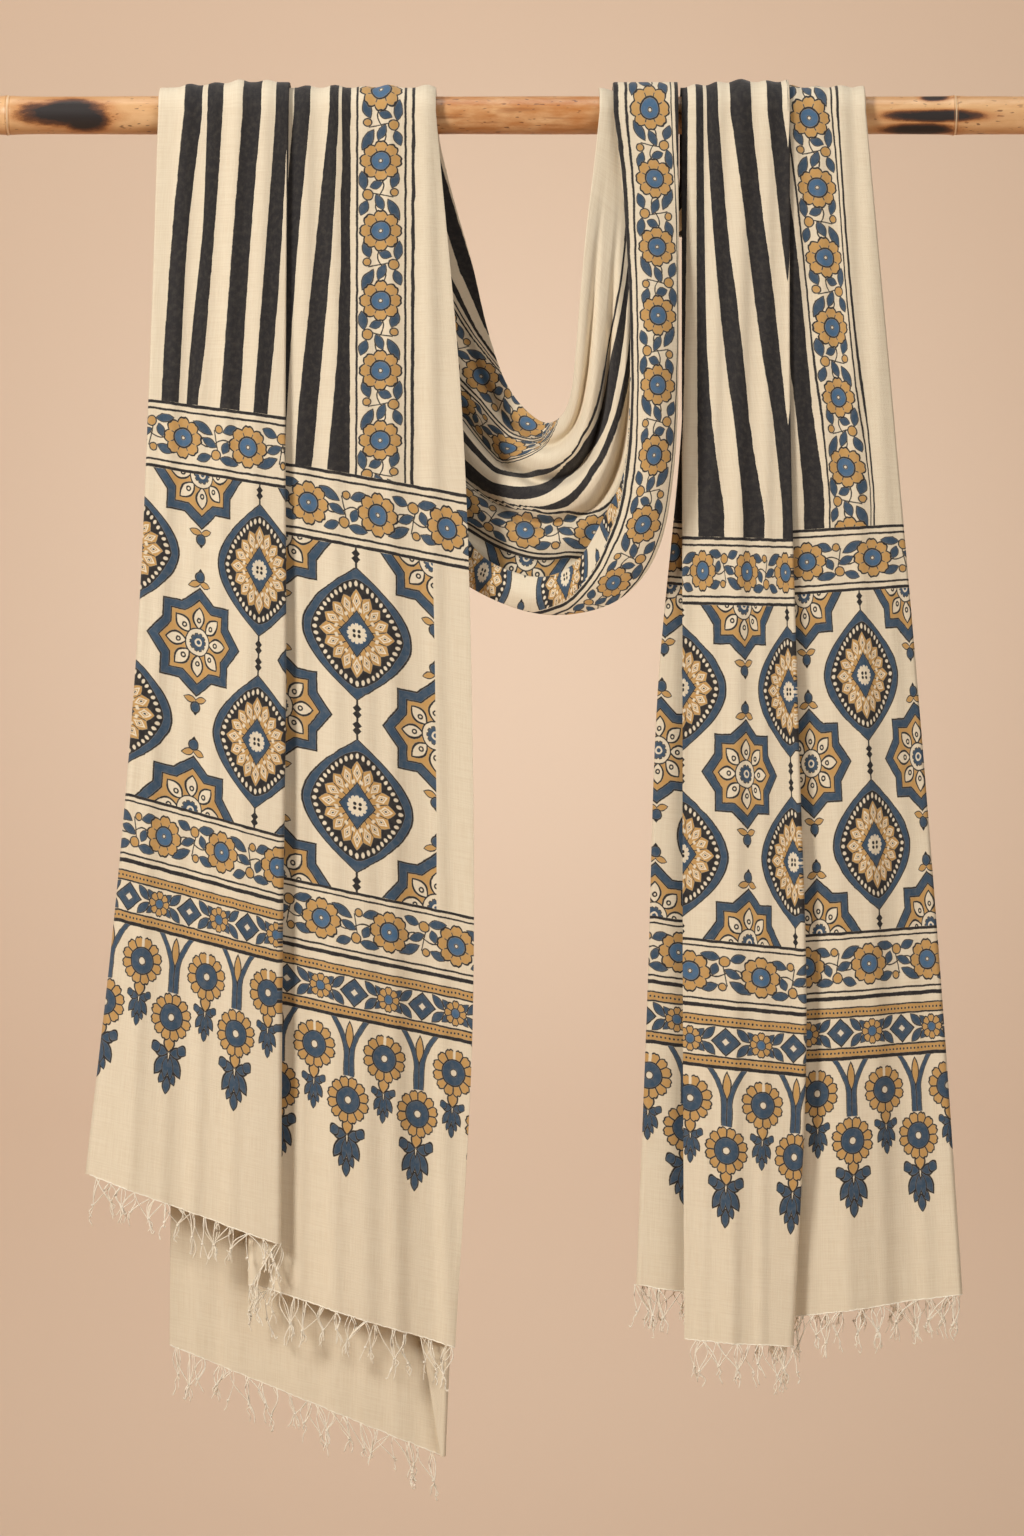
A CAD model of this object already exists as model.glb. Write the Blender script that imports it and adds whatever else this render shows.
"""Looks of the block-printed cotton cloth and its bamboo rod.

The cloth here is a finer sheet on the same drape as the frame's cloth node, so its
tables and row functions are the part's own. UV "print" gives each place of the print,
across the cloth and along it, in the photograph's pixels of 0.707 mm at the cloth.

Other lengths are millimetres in the tables and metres in the meshes.
"""
import math
import random

import bmesh
import bpy
import numpy as np
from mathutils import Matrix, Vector


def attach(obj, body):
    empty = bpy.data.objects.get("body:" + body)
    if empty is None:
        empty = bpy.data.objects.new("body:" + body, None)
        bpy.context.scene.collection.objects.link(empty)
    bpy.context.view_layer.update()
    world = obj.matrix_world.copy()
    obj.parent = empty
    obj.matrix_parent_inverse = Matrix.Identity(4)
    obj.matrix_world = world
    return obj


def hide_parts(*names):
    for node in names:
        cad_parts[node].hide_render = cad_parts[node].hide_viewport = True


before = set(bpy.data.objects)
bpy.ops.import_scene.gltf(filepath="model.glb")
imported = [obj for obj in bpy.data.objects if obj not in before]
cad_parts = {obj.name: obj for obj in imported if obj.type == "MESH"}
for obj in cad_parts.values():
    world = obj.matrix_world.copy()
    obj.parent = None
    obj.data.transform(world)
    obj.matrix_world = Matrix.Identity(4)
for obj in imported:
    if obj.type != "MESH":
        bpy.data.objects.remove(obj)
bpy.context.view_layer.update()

MM = 0.001

ROD_DIAMETER = 27.0
ROD_LENGTH = 840.0
NODE_XS = (-358.0, -136.0, 90.0, 315.0)
ROD_CHAMFER = 1.2

CLOTH_THICKNESS = 1.0
ROD_CLEARANCE = 1.4
LAYER_STEP = 2.0
BASE = ROD_DIAMETER / 2 + ROD_CLEARANCE + CLOTH_THICKNESS / 2

TUCK_FADE = 5.0
TUCK_SPREAD = 1.5

# x of the edges and folds, from the rod (share 0) to the hem (share 1)
LEFT_TAIL = (
    # share,  B,   K1,   K2,   F1,   F2,    A
    (0.00, -54, -177, -158, -250, -59, -221),
    (0.25, -35, -180, -160, -256, -43, -231),
    (0.50, -28, -181, -159, -264, -36, -238),
    (0.75, -28, -184, -161, -279, -38, -240),
    (1.00, -40, -185, -162, -300, -47, -242),
)
RIGHT_TAIL = (
    # share,  B,  K1,  K2,  F1,  F2,   A
    (0.00, 120, 196, 165, 250, 123, 239),
    (0.25, 120, 196, 165, 269, 121, 253),
    (0.50, 120, 201, 168, 287, 103, 267),
    (0.75, 120, 206, 173, 303, 96, 278),
    (1.00, 121, 197, 170, 317, 88, 288),
)
# length from the rod to the hem at each edge and fold
LEFT_DROP = {"B": 872, "K1": 827, "K2": 797, "F1": 750, "F2": 950, "A": 872}
RIGHT_DROP = {"B": 865, "K1": 869, "K2": 853, "F1": 835, "F2": 829, "A": 813}
MIDDLE_DROP_POWER = 9.0

# layers counted out from the rod, at the start and end of each run
LEFT_LEVELS = ((2, 2), (3, 3), (4, 2), (1, 1), (0, 0))
ARM_LEVELS = ((2, 0), (1, 1), (2, 2), (3, 3), (4, 4))
RIGHT_LEVELS = ((2, 4), (3, 3), (2, 2), (1, 1), (0, 0))
TOP_LEVEL = 4

# soft ripples that all layers of a tail share: place across, half width, depth at the hem
LEFT_RIPPLES = (
    (-270, 40, 6.0), (-215, 40, -4.0), (-110, 44, 6.0), (-50, 40, -4.0),
)
RIGHT_RIPPLES = (
    (130, 44, 5.0), (236, 40, 6.0), (290, 44, -5.0),
)
HIDDEN_RIPPLE = 0.25
FRONT_OFFSET = 4.0
TAIL_STEP_AT_HEM = 6.5
TAIL_SWING = 6.0

# the swag, station by station, from behind the rod to the front of it
SWAG_LINES = (
    # inner edge x, z; outer edge x, z; base y
    (-54, 0, -250, 0, 15.9),
    (-50, -24, -238, -38, 16.5),
    (-40, -63, -221, -91, 19.0),
    (-28, -105, -192, -155, 21.0),
    (-18, -148, -150, -218, 21.0),
    (-6, -185, -97, -275, 17.0),
    (8, -207, -44, -326, 9.0),
    (24, -219, 2, -351, -1.0),
    (36, -214, 41, -356, -11.0),
    (42, -199, 78, -344, -21.0),
    (45, -173, 103, -310, -28.0),
    (48, -134, 114, -250, -31.0),
    (52, -88, 117, -169, -28.0),
    (58, -38, 117.5, -77, -20.0),
    (62, 0, 117.5, 0, -15.9),
)
SWAG_FOLDS = (
    # station, K1, K2, F1, F2, A as shares from the inner to the outer edge
    (0, 0.627, 0.530, 1.00, 0.026, 0.852),
    (1, 0.600, 0.515, 0.99, 0.040, 0.870),
    (2, 0.540, 0.480, 0.97, 0.060, 0.900),
    (3, 0.460, 0.450, 0.96, 0.100, 0.930),
    (4, 0.405, 0.445, 0.95, 0.200, 0.960),
    (5, 0.390, 0.450, 0.94, 0.420, 0.980),
    (6, 0.390, 0.450, 0.95, 0.780, 1.000),
    (7, 0.390, 0.450, 0.95, 0.820, 1.000),
    (8, 0.390, 0.450, 0.95, 0.770, 1.000),
    (9, 0.390, 0.450, 0.93, 0.620, 1.000),
    (10, 0.390, 0.450, 0.94, 0.590, 1.000),
    (11, 0.425, 0.460, 0.95, 0.530, 1.000),
    (12, 0.500, 0.460, 0.96, 0.470, 1.000),
    (13, 0.570, 0.490, 0.97, 0.330, 1.000),
    (14, 0.600, 0.500, 0.97, 0.180, 1.000),
)
SWAG_DEPTHS = (
    # station; depth behind the base line at the start and end of each run
    (0, 4, 4, 6, 6, 8, 4, 2, 2, 0, 0),
    (2, 4, 4, 5.6, 6.4, 8, 5, 0, 0, -4, -4),
    (4, 3, 3, 4, 5, 6, 5, -4, -4, -9, -9),
    (6, 2, 2, 2, 2, 2, 2, -7, -7, -12, -12),
    (8, 0, 0, 0, 0, 0, 0, -10, -10, -16, -16),
    (10, 0, 1.5, 0.6, -0.6, -1.5, -1.5, -9, -9, -15, -15),
    (11, -1.5, 1.2, -0.4, -1.8, -3.4, -3, -8.5, -8.5, -13.5, -13.5),
    (12, -3, 0, -1.7, -2.3, -4, -4, -8, -8, -12, -12),
    (14, -4, 0, -2, -2, -4, -4, -6, -6, -8, -8),
)
# U-shaped folds of the swag's back layer: share across, half width, depth forward
SWAG_RIDGES = (
    (0.04, 0.08, 3.0), (0.20, 0.10, 7.0), (0.42, 0.13, 8.0), (0.62, 0.10, 4.0),
)
SWAG_RIDGE_STATIONS = (3.5, 7.5, 9.0, 12.5)
FRONT_ROLL_CROWN = 6.0

LOOP_DROP = 70.0
LOOP_RADIUS = 5.0
LOOP_LEG = 0.4


def smooth_share(value):
    """Ease a share from 0 to 1, clamped at both ends."""
    share = np.clip(value, 0.0, 1.0)
    return share * share * (3.0 - 2.0 * share)


def read_table(table, at):
    """Read a table's columns at a place between its rows, on a smooth curve."""
    rows = np.array(table, dtype=float)
    keys, values = rows[:, 0], rows[:, 1:]
    at = min(max(at, keys[0]), keys[-1])
    slopes = np.gradient(values, keys, axis=0)
    row = min(int(np.searchsorted(keys, at, side="right")) - 1, len(keys) - 2)
    span = keys[row + 1] - keys[row]
    t = (at - keys[row]) / span
    return ((2 * t**3 - 3 * t**2 + 1) * values[row]
            + (t**3 - 2 * t**2 + t) * span * slopes[row]
            + (3 * t**2 - 2 * t**3) * values[row + 1]
            + (t**3 - t**2) * span * slopes[row + 1])


def run_level(run, levels, share):
    """Level of a run at a share of its way. The tuck's layers stay flat beside it."""
    start, end = levels[run]
    if run == 0:
        share = smooth_share(share / 0.55)
    elif run == 2:
        share = smooth_share((share - 0.3) / 0.7)
    return start + (end - start) * share


def section(columns, knots, levels, step):
    """Trace a row in its own plane: place across and height above the base, in mm.

    knots are B, K1, K2, F1, F2, A. A turn is a half circle between two levels. Where the
    tuck opens, its two turns flatten into short steps that go on the same way.
    """
    way = math.copysign(1.0, knots[1] - knots[0])
    overlap = (knots[1] - knots[2]) * way
    closed = min(max((overlap + TUCK_FADE) / (2 * TUCK_FADE), 0.0), 1.0)
    full = (closed, closed, 1.0, 1.0)
    bulge = (way, -way, way, -way)
    turns = []
    for turn in range(4):
        before, after = levels[turn][1] * step, levels[turn + 1][0] * step
        reach = full[turn] * bulge[turn] * abs(after - before) / 2
        spread = (1.0 - full[turn]) * way * TUCK_SPREAD
        turns.append((knots[turn + 1] - reach, reach, spread, before, after))
    across, height = [], []
    for kind, run, value in columns:
        if kind == "run":
            start, end = knots[0], knots[5]
            if run > 0:
                start = turns[run - 1][0] + turns[run - 1][2]
            if run < 4:
                end = turns[run][0] - turns[run][2]
            across.append(start + (end - start) * value)
            height.append(run_level(run, levels, value) * step)
        else:
            centre, reach, spread, before, after = turns[run]
            angle = math.radians(value)
            across.append(centre + reach * math.sin(angle) - spread * math.cos(angle))
            height.append((before + after) / 2 - (after - before) / 2 * math.cos(angle))
    return np.array(across), np.array(height)


def is_hidden(kind, run, value):
    """How far a column belongs to the two layers behind a tail's front, 0 to 1."""
    if kind == "turn" and run == 2:
        return value / 180.0
    return 1.0 if run > 2 else 0.0


def hem_drop(columns, drop):
    """Length from the rod to the hem at each column."""
    at = [drop[name] for name in ("B", "K1", "K2", "F1", "F2", "A")]
    lengths = []
    for kind, run, value in columns:
        if kind == "turn":
            lengths.append(at[run + 1])
            continue
        share = value**MIDDLE_DROP_POWER if run == 3 else value
        lengths.append(at[run] + (at[run + 1] - at[run]) * share)
    return np.array(lengths)


def bump(place, centre, half_width):
    """A soft rounded bump, 1 at its centre and 0 past its half width."""
    reach = np.clip(np.abs(place - centre) / half_width, 0.0, 1.0)
    return 0.5 + 0.5 * np.cos(math.pi * reach)


def tail_row(columns, table, drop, levels, ripples, share):
    """One row of a tail that hangs in front of the rod."""
    step = LAYER_STEP + (TAIL_STEP_AT_HEM - LAYER_STEP) * smooth_share(share * 1.1)
    across, height = section(columns, read_table(table, share), levels, step)
    wave = sum(depth * bump(across, centre, half) for centre, half, depth in ripples)
    hidden = np.array([is_hidden(kind, run, value) for kind, run, value in columns])
    wave = wave * (1.0 - (1.0 - HIDDEN_RIPPLE) * hidden) + FRONT_OFFSET * (1.0 - hidden)
    out = BASE + height + wave * smooth_share(share * 1.2) + TAIL_SWING * share
    return np.stack([across, -out, -share * hem_drop(columns, drop)], axis=1)


def arc_row(columns, knots, levels, angle):
    """One row on the rod, at an angle from its front tangent over its top."""
    across, height = section(columns, knots, levels, LAYER_STEP)
    radius = BASE + height
    return np.stack([across, -radius * math.cos(angle), radius * math.sin(angle)], axis=1)


def swag_row(columns, station):
    """One row of the swag, between its inner and its outer edge."""
    lines = read_table([(n, *row) for n, row in enumerate(SWAG_LINES)], station)
    folds = read_table(SWAG_FOLDS, station)
    depths = read_table(SWAG_DEPTHS, station)
    inner, outer, base = lines[0:2], lines[2:4], lines[4]
    width = float(np.linalg.norm(outer - inner))
    knots = np.concatenate([[0.0], folds]) * width
    levels = [(depths[2 * run], depths[2 * run + 1]) for run in range(5)]
    across, behind = section(columns, knots, levels, 1.0)
    first, full, last, end = SWAG_RIDGE_STATIONS
    strength = smooth_share((station - first) / (full - first))
    strength *= smooth_share((end - station) / (end - last))
    share = across / width
    ridge = sum(depth * bump(share, centre, half) for centre, half, depth in SWAG_RIDGES)
    ridge *= smooth_share((folds[3] - 0.02 - share) / 0.14)
    back_layer = np.array([run < 3 and not (kind == "turn" and run == 2)
                           for kind, run, value in columns])
    front = np.array([1.0 if run == 4 else 0.0 for kind, run, value in columns])
    crown = np.array([math.sin(math.pi * value) if kind == "run" else 0.0
                      for kind, run, value in columns])
    roll = smooth_share((station - 5.0) / 3.0) * smooth_share((14.0 - station) / 3.0)
    y = base + behind - strength * ridge * back_layer - FRONT_ROLL_CROWN * roll * crown * front
    x = inner[0] + (outer[0] - inner[0]) * share
    z = inner[1] + (outer[1] - inner[1]) * share
    return np.stack([x, y, z], axis=1)


def loop_row(columns, arm_knots, tail_knots, share):
    """One row of the hidden loop behind the rod, down on one leg and up on the other."""
    move = smooth_share((share - 0.25) / 0.5)
    knots = [a + (b - a) * move for a, b in zip(arm_knots, tail_knots)]
    across, height = section(columns, knots, ARM_LEVELS, LAYER_STEP)
    stack = TOP_LEVEL * LAYER_STEP
    middle = BASE + stack + LOOP_RADIUS
    reach = LOOP_RADIUS + height
    if share < LOOP_LEG:
        part = share / LOOP_LEG
        y = BASE + height + (stack + 2 * LOOP_RADIUS) * smooth_share(part)
        z = np.full_like(across, -LOOP_DROP * part)
    elif share > 1.0 - LOOP_LEG:
        part = (1.0 - share) / LOOP_LEG
        y = middle - reach
        z = np.full_like(across, -LOOP_DROP * part)
    else:
        angle = math.pi * (share - LOOP_LEG) / (1.0 - 2 * LOOP_LEG)
        y = middle + reach * math.cos(angle)
        z = -LOOP_DROP - reach * math.sin(angle)
    return np.stack([across, y, z], axis=1)


# The fine sheet: its rows and columns, and where the print lies on it.

SHEET_THICKNESS = 0.6
FINE_RUNS = (46, 7, 38, 24, 26)
FINE_TURNS = (30.0, 60.0, 90.0, 120.0, 150.0)
PHOTO_MM = 0.707          # one pixel of the photograph at the cloth
PHOTO_MIDDLE = 512.0      # the pixel column of x = 0
ROD_ROW = 111.0           # the pixel row of the rod's axis


def fine_columns():
    """List the fine sheet's columns, as in the part: runs with turns between them."""
    columns = []
    for run, count in enumerate(FINE_RUNS):
        columns += [("run", run, step / count) for step in range(count + 1)]
        if run < len(FINE_RUNS) - 1:
            columns += [("turn", run, angle) for angle in FINE_TURNS]
    return columns


def along_knots(columns, values):
    """Spread six values, at B, K1, K2, F1, F2 and A, over the columns."""
    spread = []
    for kind, run, value in columns:
        if kind == "turn":
            spread.append(values[run + 1])
        else:
            spread.append(values[run] + (values[run + 1] - values[run]) * value)
    return np.array(spread)


# where the cross borders lie, as shares of the drop at B, K1, K2, F1, F2 and A
LEFT_BORDERS = (
    (0.3110, 0.2970, 0.2720, 0.2720, 0.2900, 0.3000),   # top of the upper border
    (0.3728, 0.3580, 0.3360, 0.3355, 0.3520, 0.3620),   # its foot, the field's top
    (0.6530, 0.6490, 0.6415, 0.6430, 0.6500, 0.6530),   # the field's foot
)
RIGHT_BORDERS = (
    (0.3480, 0.3490, 0.3500, 0.3500, 0.3490, 0.3480),
    (0.4040, 0.4040, 0.4040, 0.4040, 0.4040, 0.4040),
    (0.6740, 0.6800, 0.6840, 0.6890, 0.6860, 0.6800),
)
ZONE_ROWS = (22, 5, 18, 21)
BORDER_HEIGHT = 68.0      # in pixels, as all of the print
PITCH = 166.0             # the medallions' repeat down the cloth
FIELD_HEIGHT = 2 * PITCH


# soft creases of the fine sheet alone: pixel columns at the rod and at the hem, half
# width and depth in mm
LEFT_CREASES = (
    (188, 132, 8, 2.4), (214, 165, 7, 1.6), (238, 196, 8, 2.6), (266, 232, 8, 2.0),
    (306, 300, 8, 2.2), (334, 335, 9, 2.6), (364, 368, 9, 1.4), (388, 398, 10, 2.8),
    (426, 448, 9, 2.8),
)
RIGHT_CREASES = (
    (696, 664, 8, 2.4), (718, 700, 7, 2.0), (742, 728, 9, 2.8), (768, 758, 7, 1.6),
    (792, 806, 9, 2.6), (818, 846, 8, 1.6), (842, 884, 9, 2.2), (864, 926, 8, 1.8),
)
CREASE_FADE = ((0.0, 0.8), (0.05, 0.9), (0.25, 1.0), (0.42, 0.7), (0.7, 0.75), (1.0, 0.9))
# troughs of the swag's back layers: share across, half width, depth
SWAG_TROUGHS = ((0.125, 0.05, 5.0), (0.31, 0.055, 8.0), (0.53, 0.05, 6.0), (0.74, 0.05, 4.0))


def press_creases(points, shares, creases):
    """Raise soft creases in a tail, alike in all its layers so that they stay apart."""
    reach, strength = zip(*CREASE_FADE)
    faded = np.interp(shares, reach, strength)
    for top, foot, half, depth in creases:
        middle = (top + (foot - top) * shares - PHOTO_MIDDLE) * PHOTO_MM
        points[:, :, 1] -= depth * faded * bump(points[:, :, 0], middle, half)


def tail_sheet(columns, table, drop, levels, ripples, borders):
    """Points of a tail with rows that follow its borders, and where each row lies.

    Gives points and the shares of the drop, both as rows by columns, rod first.
    """
    samples = np.linspace(0.0, 1.0, 181)
    dense = np.array([tail_row(columns, table, drop, levels, ripples, s) for s in samples])
    marks = [along_knots(columns, values) for values in borders]
    marks = [np.zeros(len(columns))] + marks + [np.ones(len(columns))]
    shares = []
    for zone, count in enumerate(ZONE_ROWS):
        for step in range(count):
            part = step / count
            shares.append(marks[zone] + (marks[zone + 1] - marks[zone]) * part)
    shares.append(marks[-1])
    shares = np.array(shares)
    points = np.zeros((*shares.shape, 3))
    for column in range(len(columns)):
        for axis in range(3):
            points[:, column, axis] = np.interp(
                shares[:, column], samples, dense[:, column, axis])
    return points, shares


# Where the printed lines lie. Places across the print ("u") and x are both counted in
# the photograph's pixels at the cloth, 0.707 mm each. u runs from a plain edge: 57 of
# plain cloth, a double line, 43 of flowers from 68, a line, then stripes of 22 from 119.
STRIPE_START, STRIPE = 119.0, 22.0
BAND_MIDDLE = 89.5
CLOTH_SPAN = 962.0

# x and u pairs on the tails' two front runs, at the rod and at a quarter of the drop
LEFT_BODY = {
    "first": (
        ((435, 0), (416, 57), (403, 68), (359, 111), (350, 119), (341, 141), (339, 163),
         (330, 185), (310, 207), (294, 229), (288, 236)),
        ((461, 0), (414, 57), (403, 68), (358, 111), (350, 119), (333, 141), (318, 163),
         (299, 185), (289, 204), (288, 206)),
    ),
    "last": (
        ((288, 207), (276, 229), (262, 251), (243, 273), (223, 295), (207, 317),
         (203, 339), (185, 361), (158, 382)),
        ((288, 188), (270, 207), (256, 229), (242, 251), (223, 273), (201, 295),
         (188, 317), (181, 339), (163, 361), (150, 378)),
    ),
}
RIGHT_BODY = {
    "first": (
        ((789, 112), (784, 117), (782, 119), (767, 141), (751, 163), (730, 185), (718, 207),
         (706, 229), (704, 251), (696, 273), (688, 295), (680, 317)),
        ((789, 160), (786, 163), (772, 185), (748, 207), (733, 229), (711, 251), (697, 273),
         (683, 295), (680, 300)),
    ),
    "last": (
        ((866, 0), (839, 57), (830, 68), (787, 111), (745, 155)),
        ((893, 0), (866, 57), (856, 68), (822, 111), (812, 119), (795, 141), (745, 195)),
    ),
}
# the same for the lower zones, whose columns keep their place in the print
COLUMN = 79.0             # from a column of ogees to the next column of stars
LEFT_FIELD = {"first": ((436, 1), (358, 2), (280, 3)), "last": ((260, 4), (200, 5), (124, 6))}
RIGHT_FIELD = {"first": ((680, 2), (745, 3), (789, 4)), "last": ((810, 5), (868, 6), (917, 7))}
RIGHT_BACK_COLUMN = (658, 11)
FLOWER_STEP = 70.0
LEFT_UPPER = {"first": ((378, 1), (309, 2)), "last": ((249, 3), (184, 4))}
RIGHT_UPPER = {"first": ((702, 0), (746, 1), (784, 2)), "last": ((806, 3), (871, 4))}
RIGHT_UPPER_BACK = (668, 9)
DROP_STEP = 78.0
LEFT_LOWER = {
    "first": ((452, 0), (384, 1), (315, 2)), "last": ((270, 3), (208, 4), (143, 5))}
RIGHT_LOWER = {
    "first": ((689, 0), (760, 1), (824, 2)), "last": ((815.5, 3), (883, 4), (947, 5))}
RIGHT_LOWER_BACK = (653, 9)

# The swag's back layers: shares from the inner to the outer edge where the print
# changes, station by station.
REAR_MARKS = (10, 24, 40, 48, 64, 106, 116, 156, 166, 200, 212, 232, 254, 272, 284, 296,
              342, 354)
REAR_SHARES = (
    (0, .02, .07, .12, .16, .20, .32, .35, .46, .49, .52, .56, .62, .69, .75, .79, .83, .96, .99),
    (3, .0, .06, .10, .13, .17, .32, .35, .48, .51, .53, .57, .63, .70, .73, .732, .74, .89, .93),
    (4, .0, .01, .05, .06, .09, .26, .30, .42, .45, .47, .51, .575, .65, .68, .683, .69, .85, .89),
    (5, -.07, -.06, -.04, -.03, -.01, .175, .20, .30, .33, .36, .40, .47, .55, .58, .583, .59,
     .79, .83),
    (6, -.08, -.07, -.05, -.04, -.02, .155, .185, .31, .335, .365, .395, .445, .51, .525, .526, .527,
     .70, .74),
    (7, -.08, -.07, -.06, -.05, -.02, .07, .085, .12, .14, .25, .28, .336, .41, .452, .455, .458,
     .685, .72),
    (8, -.35, -.33, -.31, -.29, -.25, -.15, -.13, -.07, -.05, .23, .24, .245, .32, .415, .465,
     .475, .68, .71),
    (9, -.5, -.47, -.44, -.42, -.38, -.25, -.22, -.14, -.12, .21, .22, .24, .305, .37, .41, .57,
     .75, .79),
    (10, -.5, -.47, -.44, -.42, -.38, -.25, -.22, -.14, -.12, .25, .265, .29, .37, .40, .44, .62,
     .80, .84),
    (11, -.5, -.47, -.44, -.42, -.38, -.25, -.22, -.14, -.12, .29, .30, .335, .42, .47, .51, .66,
     .83, .87),
    (12, -.5, -.47, -.44, -.42, -.38, -.25, -.22, -.14, -.12, .38, .395, .43, .47, .52, .56, .70,
     .85, .90),
    (13, -.5, -.47, -.44, -.42, -.38, -.25, -.22, -.14, -.12, .42, .44, .50, .56, .62, .67, .75,
     .88, .92),
    (14, -.5, -.47, -.44, -.42, -.38, -.25, -.22, -.14, -.12, .45, .47, .54, .61, .68, .73, .80,
     .92, .95),
)
# the same for the rolled front edge, with u as on the tails
ROLL_MARKS = (57, 68, 111, 119)
ROLL_SHARES = (
    (0, 1.03, 1.08, 1.30, 1.34), (6, 1.03, 1.08, 1.30, 1.34), (7, 1.03, 1.08, 1.30, 1.34),
    (8, .93, .98, 1.20, 1.24), (9, .72, .79, .99, 1.02), (10, .60, .70, .97, 1.0),
    (11, .545, .625, .97, 1.0), (12, .47, .57, .98, 1.01), (13, .34, .49, .97, 1.0),
    (14, .18, .37, .90, .95),
)


def read_line(places, pairs):
    """Read u at places from x and u pairs, going on at a pixel a pixel past both ends."""
    pairs = sorted(pairs)
    xs = np.array([pair[0] for pair in pairs], dtype=float)
    us = np.array([pair[1] for pair in pairs], dtype=float)
    rates = (us[1] - us[0]) / (xs[1] - xs[0]), (us[-1] - us[-2]) / (xs[-1] - xs[-2])
    places = np.asarray(places, dtype=float)
    value = np.interp(places, xs, us)
    value = np.where(places < xs[0], us[0] + rates[0] * (places - xs[0]), value)
    return np.where(places > xs[-1], us[-1] + rates[1] * (places - xs[-1]), value)


def run_slices(columns):
    """The first and last column of each run."""
    runs = []
    for run in range(5):
        inside = [n for n, (kind, r, value) in enumerate(columns) if kind == "run" and r == run]
        runs.append((inside[0], inside[-1]))
    return runs


def place_u(columns, runs, x, tables, step=1.0, back=None):
    """u of every column of one row from its x in pixels.

    tables are the pairs of the first and the last front run. back gives one pair for
    the middle layer's far end. Otherwise u goes on by a pixel a pixel.
    """
    u = np.zeros(len(columns))
    (a0, a1), (c0, c1) = runs[0], runs[2]
    u[a0:a1 + 1] = read_line(x[a0:a1 + 1], tables["first"]) * step
    u[c0:c1 + 1] = read_line(x[c0:c1 + 1], tables["last"]) * step
    gap = np.arange(a1, c0 + 1)
    u[gap] = np.interp(gap, (a1, c0), (u[a1], u[c0]))
    way = math.copysign(1.0, u[c1] - u[c1 - 3])
    travelled = np.concatenate([[0.0], np.cumsum(np.abs(np.diff(x[c1:])))])
    rate = 1.0
    if back is not None:
        far = runs[3][1] - c1
        rate = (back[1] * step - u[c1]) / (way * travelled[far])
    u[c1:] = u[c1] + way * rate * travelled
    return u


def tail_prints(columns, runs, points, shares, drop, side):
    """The four zones of a tail: rows, print names and print places, rod first."""
    side_name, body, field, upper, lower, backs, creases = side
    lengths = hem_drop(columns, drop) / PHOTO_MM
    bounds = np.concatenate([[0], np.cumsum(ZONE_ROWS)])
    x = points[:, :, 0] / PHOTO_MM + PHOTO_MIDDLE
    press_creases(points, shares, creases)
    zones = []
    for zone in range(4):
        first, last = int(bounds[zone]), int(bounds[zone + 1])
        rows = slice(first, last + 1)
        part = shares[rows]
        u = np.zeros(part.shape)
        v = np.zeros(part.shape)
        if zone == 0:
            tables = [{name: body[name][n] for name in body} for n in (0, 1)]
            for n in range(part.shape[0]):
                top = place_u(columns, runs, x[first + n], tables[0])
                low = place_u(columns, runs, x[first + n], tables[1])
                mix = np.clip(part[n] / 0.25, 0.0, 1.3)
                u[n] = top + (low - top) * mix
            v = part * lengths
        else:
            table, step, back = ((upper, FLOWER_STEP, backs[0]), (field, COLUMN, backs[1]),
                                 (lower, DROP_STEP, backs[2]))[zone - 1]
            middle = x[(first + min(last, first + 24)) // 2]
            u[:] = place_u(columns, runs, middle, table, step, back)
            down = (part - shares[first]) * lengths
            if zone == 1:
                v = down / ((shares[last] - shares[first]) * lengths) * BORDER_HEIGHT
            elif zone == 2:
                v = down / ((shares[last] - shares[first]) * lengths) * FIELD_HEIGHT
            else:
                v = down
        zones.append((points[rows], (side_name + "body", "upper", "field", "lower")[zone], u, v))
    return zones


def flipped(zones):
    """The same zones from the hem to the rod."""
    return [(p[::-1], name, u[::-1], v[::-1]) for p, name, u, v in zones[::-1]]


def marks_to_u(share, station, table, marks, length):
    """u at a share of a swag section, on straight lines between the marks."""
    rows = np.array(table, dtype=float)
    at = [np.interp(station, rows[:, 0], rows[:, n + 1]) for n in range(len(marks))]
    u = np.interp(share, at, marks)
    u = np.where(share < at[0], marks[0] + (share - at[0]) * length, u)
    return np.where(share > at[-1], marks[-1] + (share - at[-1]) * length, u)


# each band of the back layers: u of its middle, and a pixel place of one of its motifs
REAR_LINES = ((85.0, 486.0, 367.5), (136.0, 505.0, 445.0), (320.5, 526.0, 527.0),
              (400.0, 526.5, 574.0))
REAR_LINE_ENDS = (111.0, 200.0, 350.0)


def band_line(lines, stations, table, marks, middle):
    """Pixel places along one band of the swag, and the length to each of them."""
    rows = np.array(table, dtype=float)
    path = []
    for station in stations:
        row = read_table(lines, station)
        at = [np.interp(station, rows[:, 0], rows[:, n + 1]) for n in range(len(marks))]
        share = np.interp(middle, marks, at)
        if middle > marks[-1]:
            width = np.linalg.norm(row[2:4] - row[0:2])
            share = at[-1] + (middle - marks[-1]) * PHOTO_MM / width
        x, z = row[0:2] + (row[2:4] - row[0:2]) * share
        path.append((x / PHOTO_MM + PHOTO_MIDDLE, ROD_ROW - z / PHOTO_MM))
    path = np.array(path)
    steps = np.linalg.norm(np.diff(path, axis=0), axis=1)
    return path, np.concatenate([[0.0], np.cumsum(steps)])


def along_rear_lines(lines, stations):
    """Length along each band of the back layers, from its motif's place, in pixels."""
    lengths = []
    for middle, *motif in REAR_LINES:
        path, length = band_line(lines, stations, REAR_SHARES, REAR_MARKS, middle)
        lengths.append(length - length[np.argmin(np.linalg.norm(path - motif, axis=1))])
    return np.array(lengths)


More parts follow.
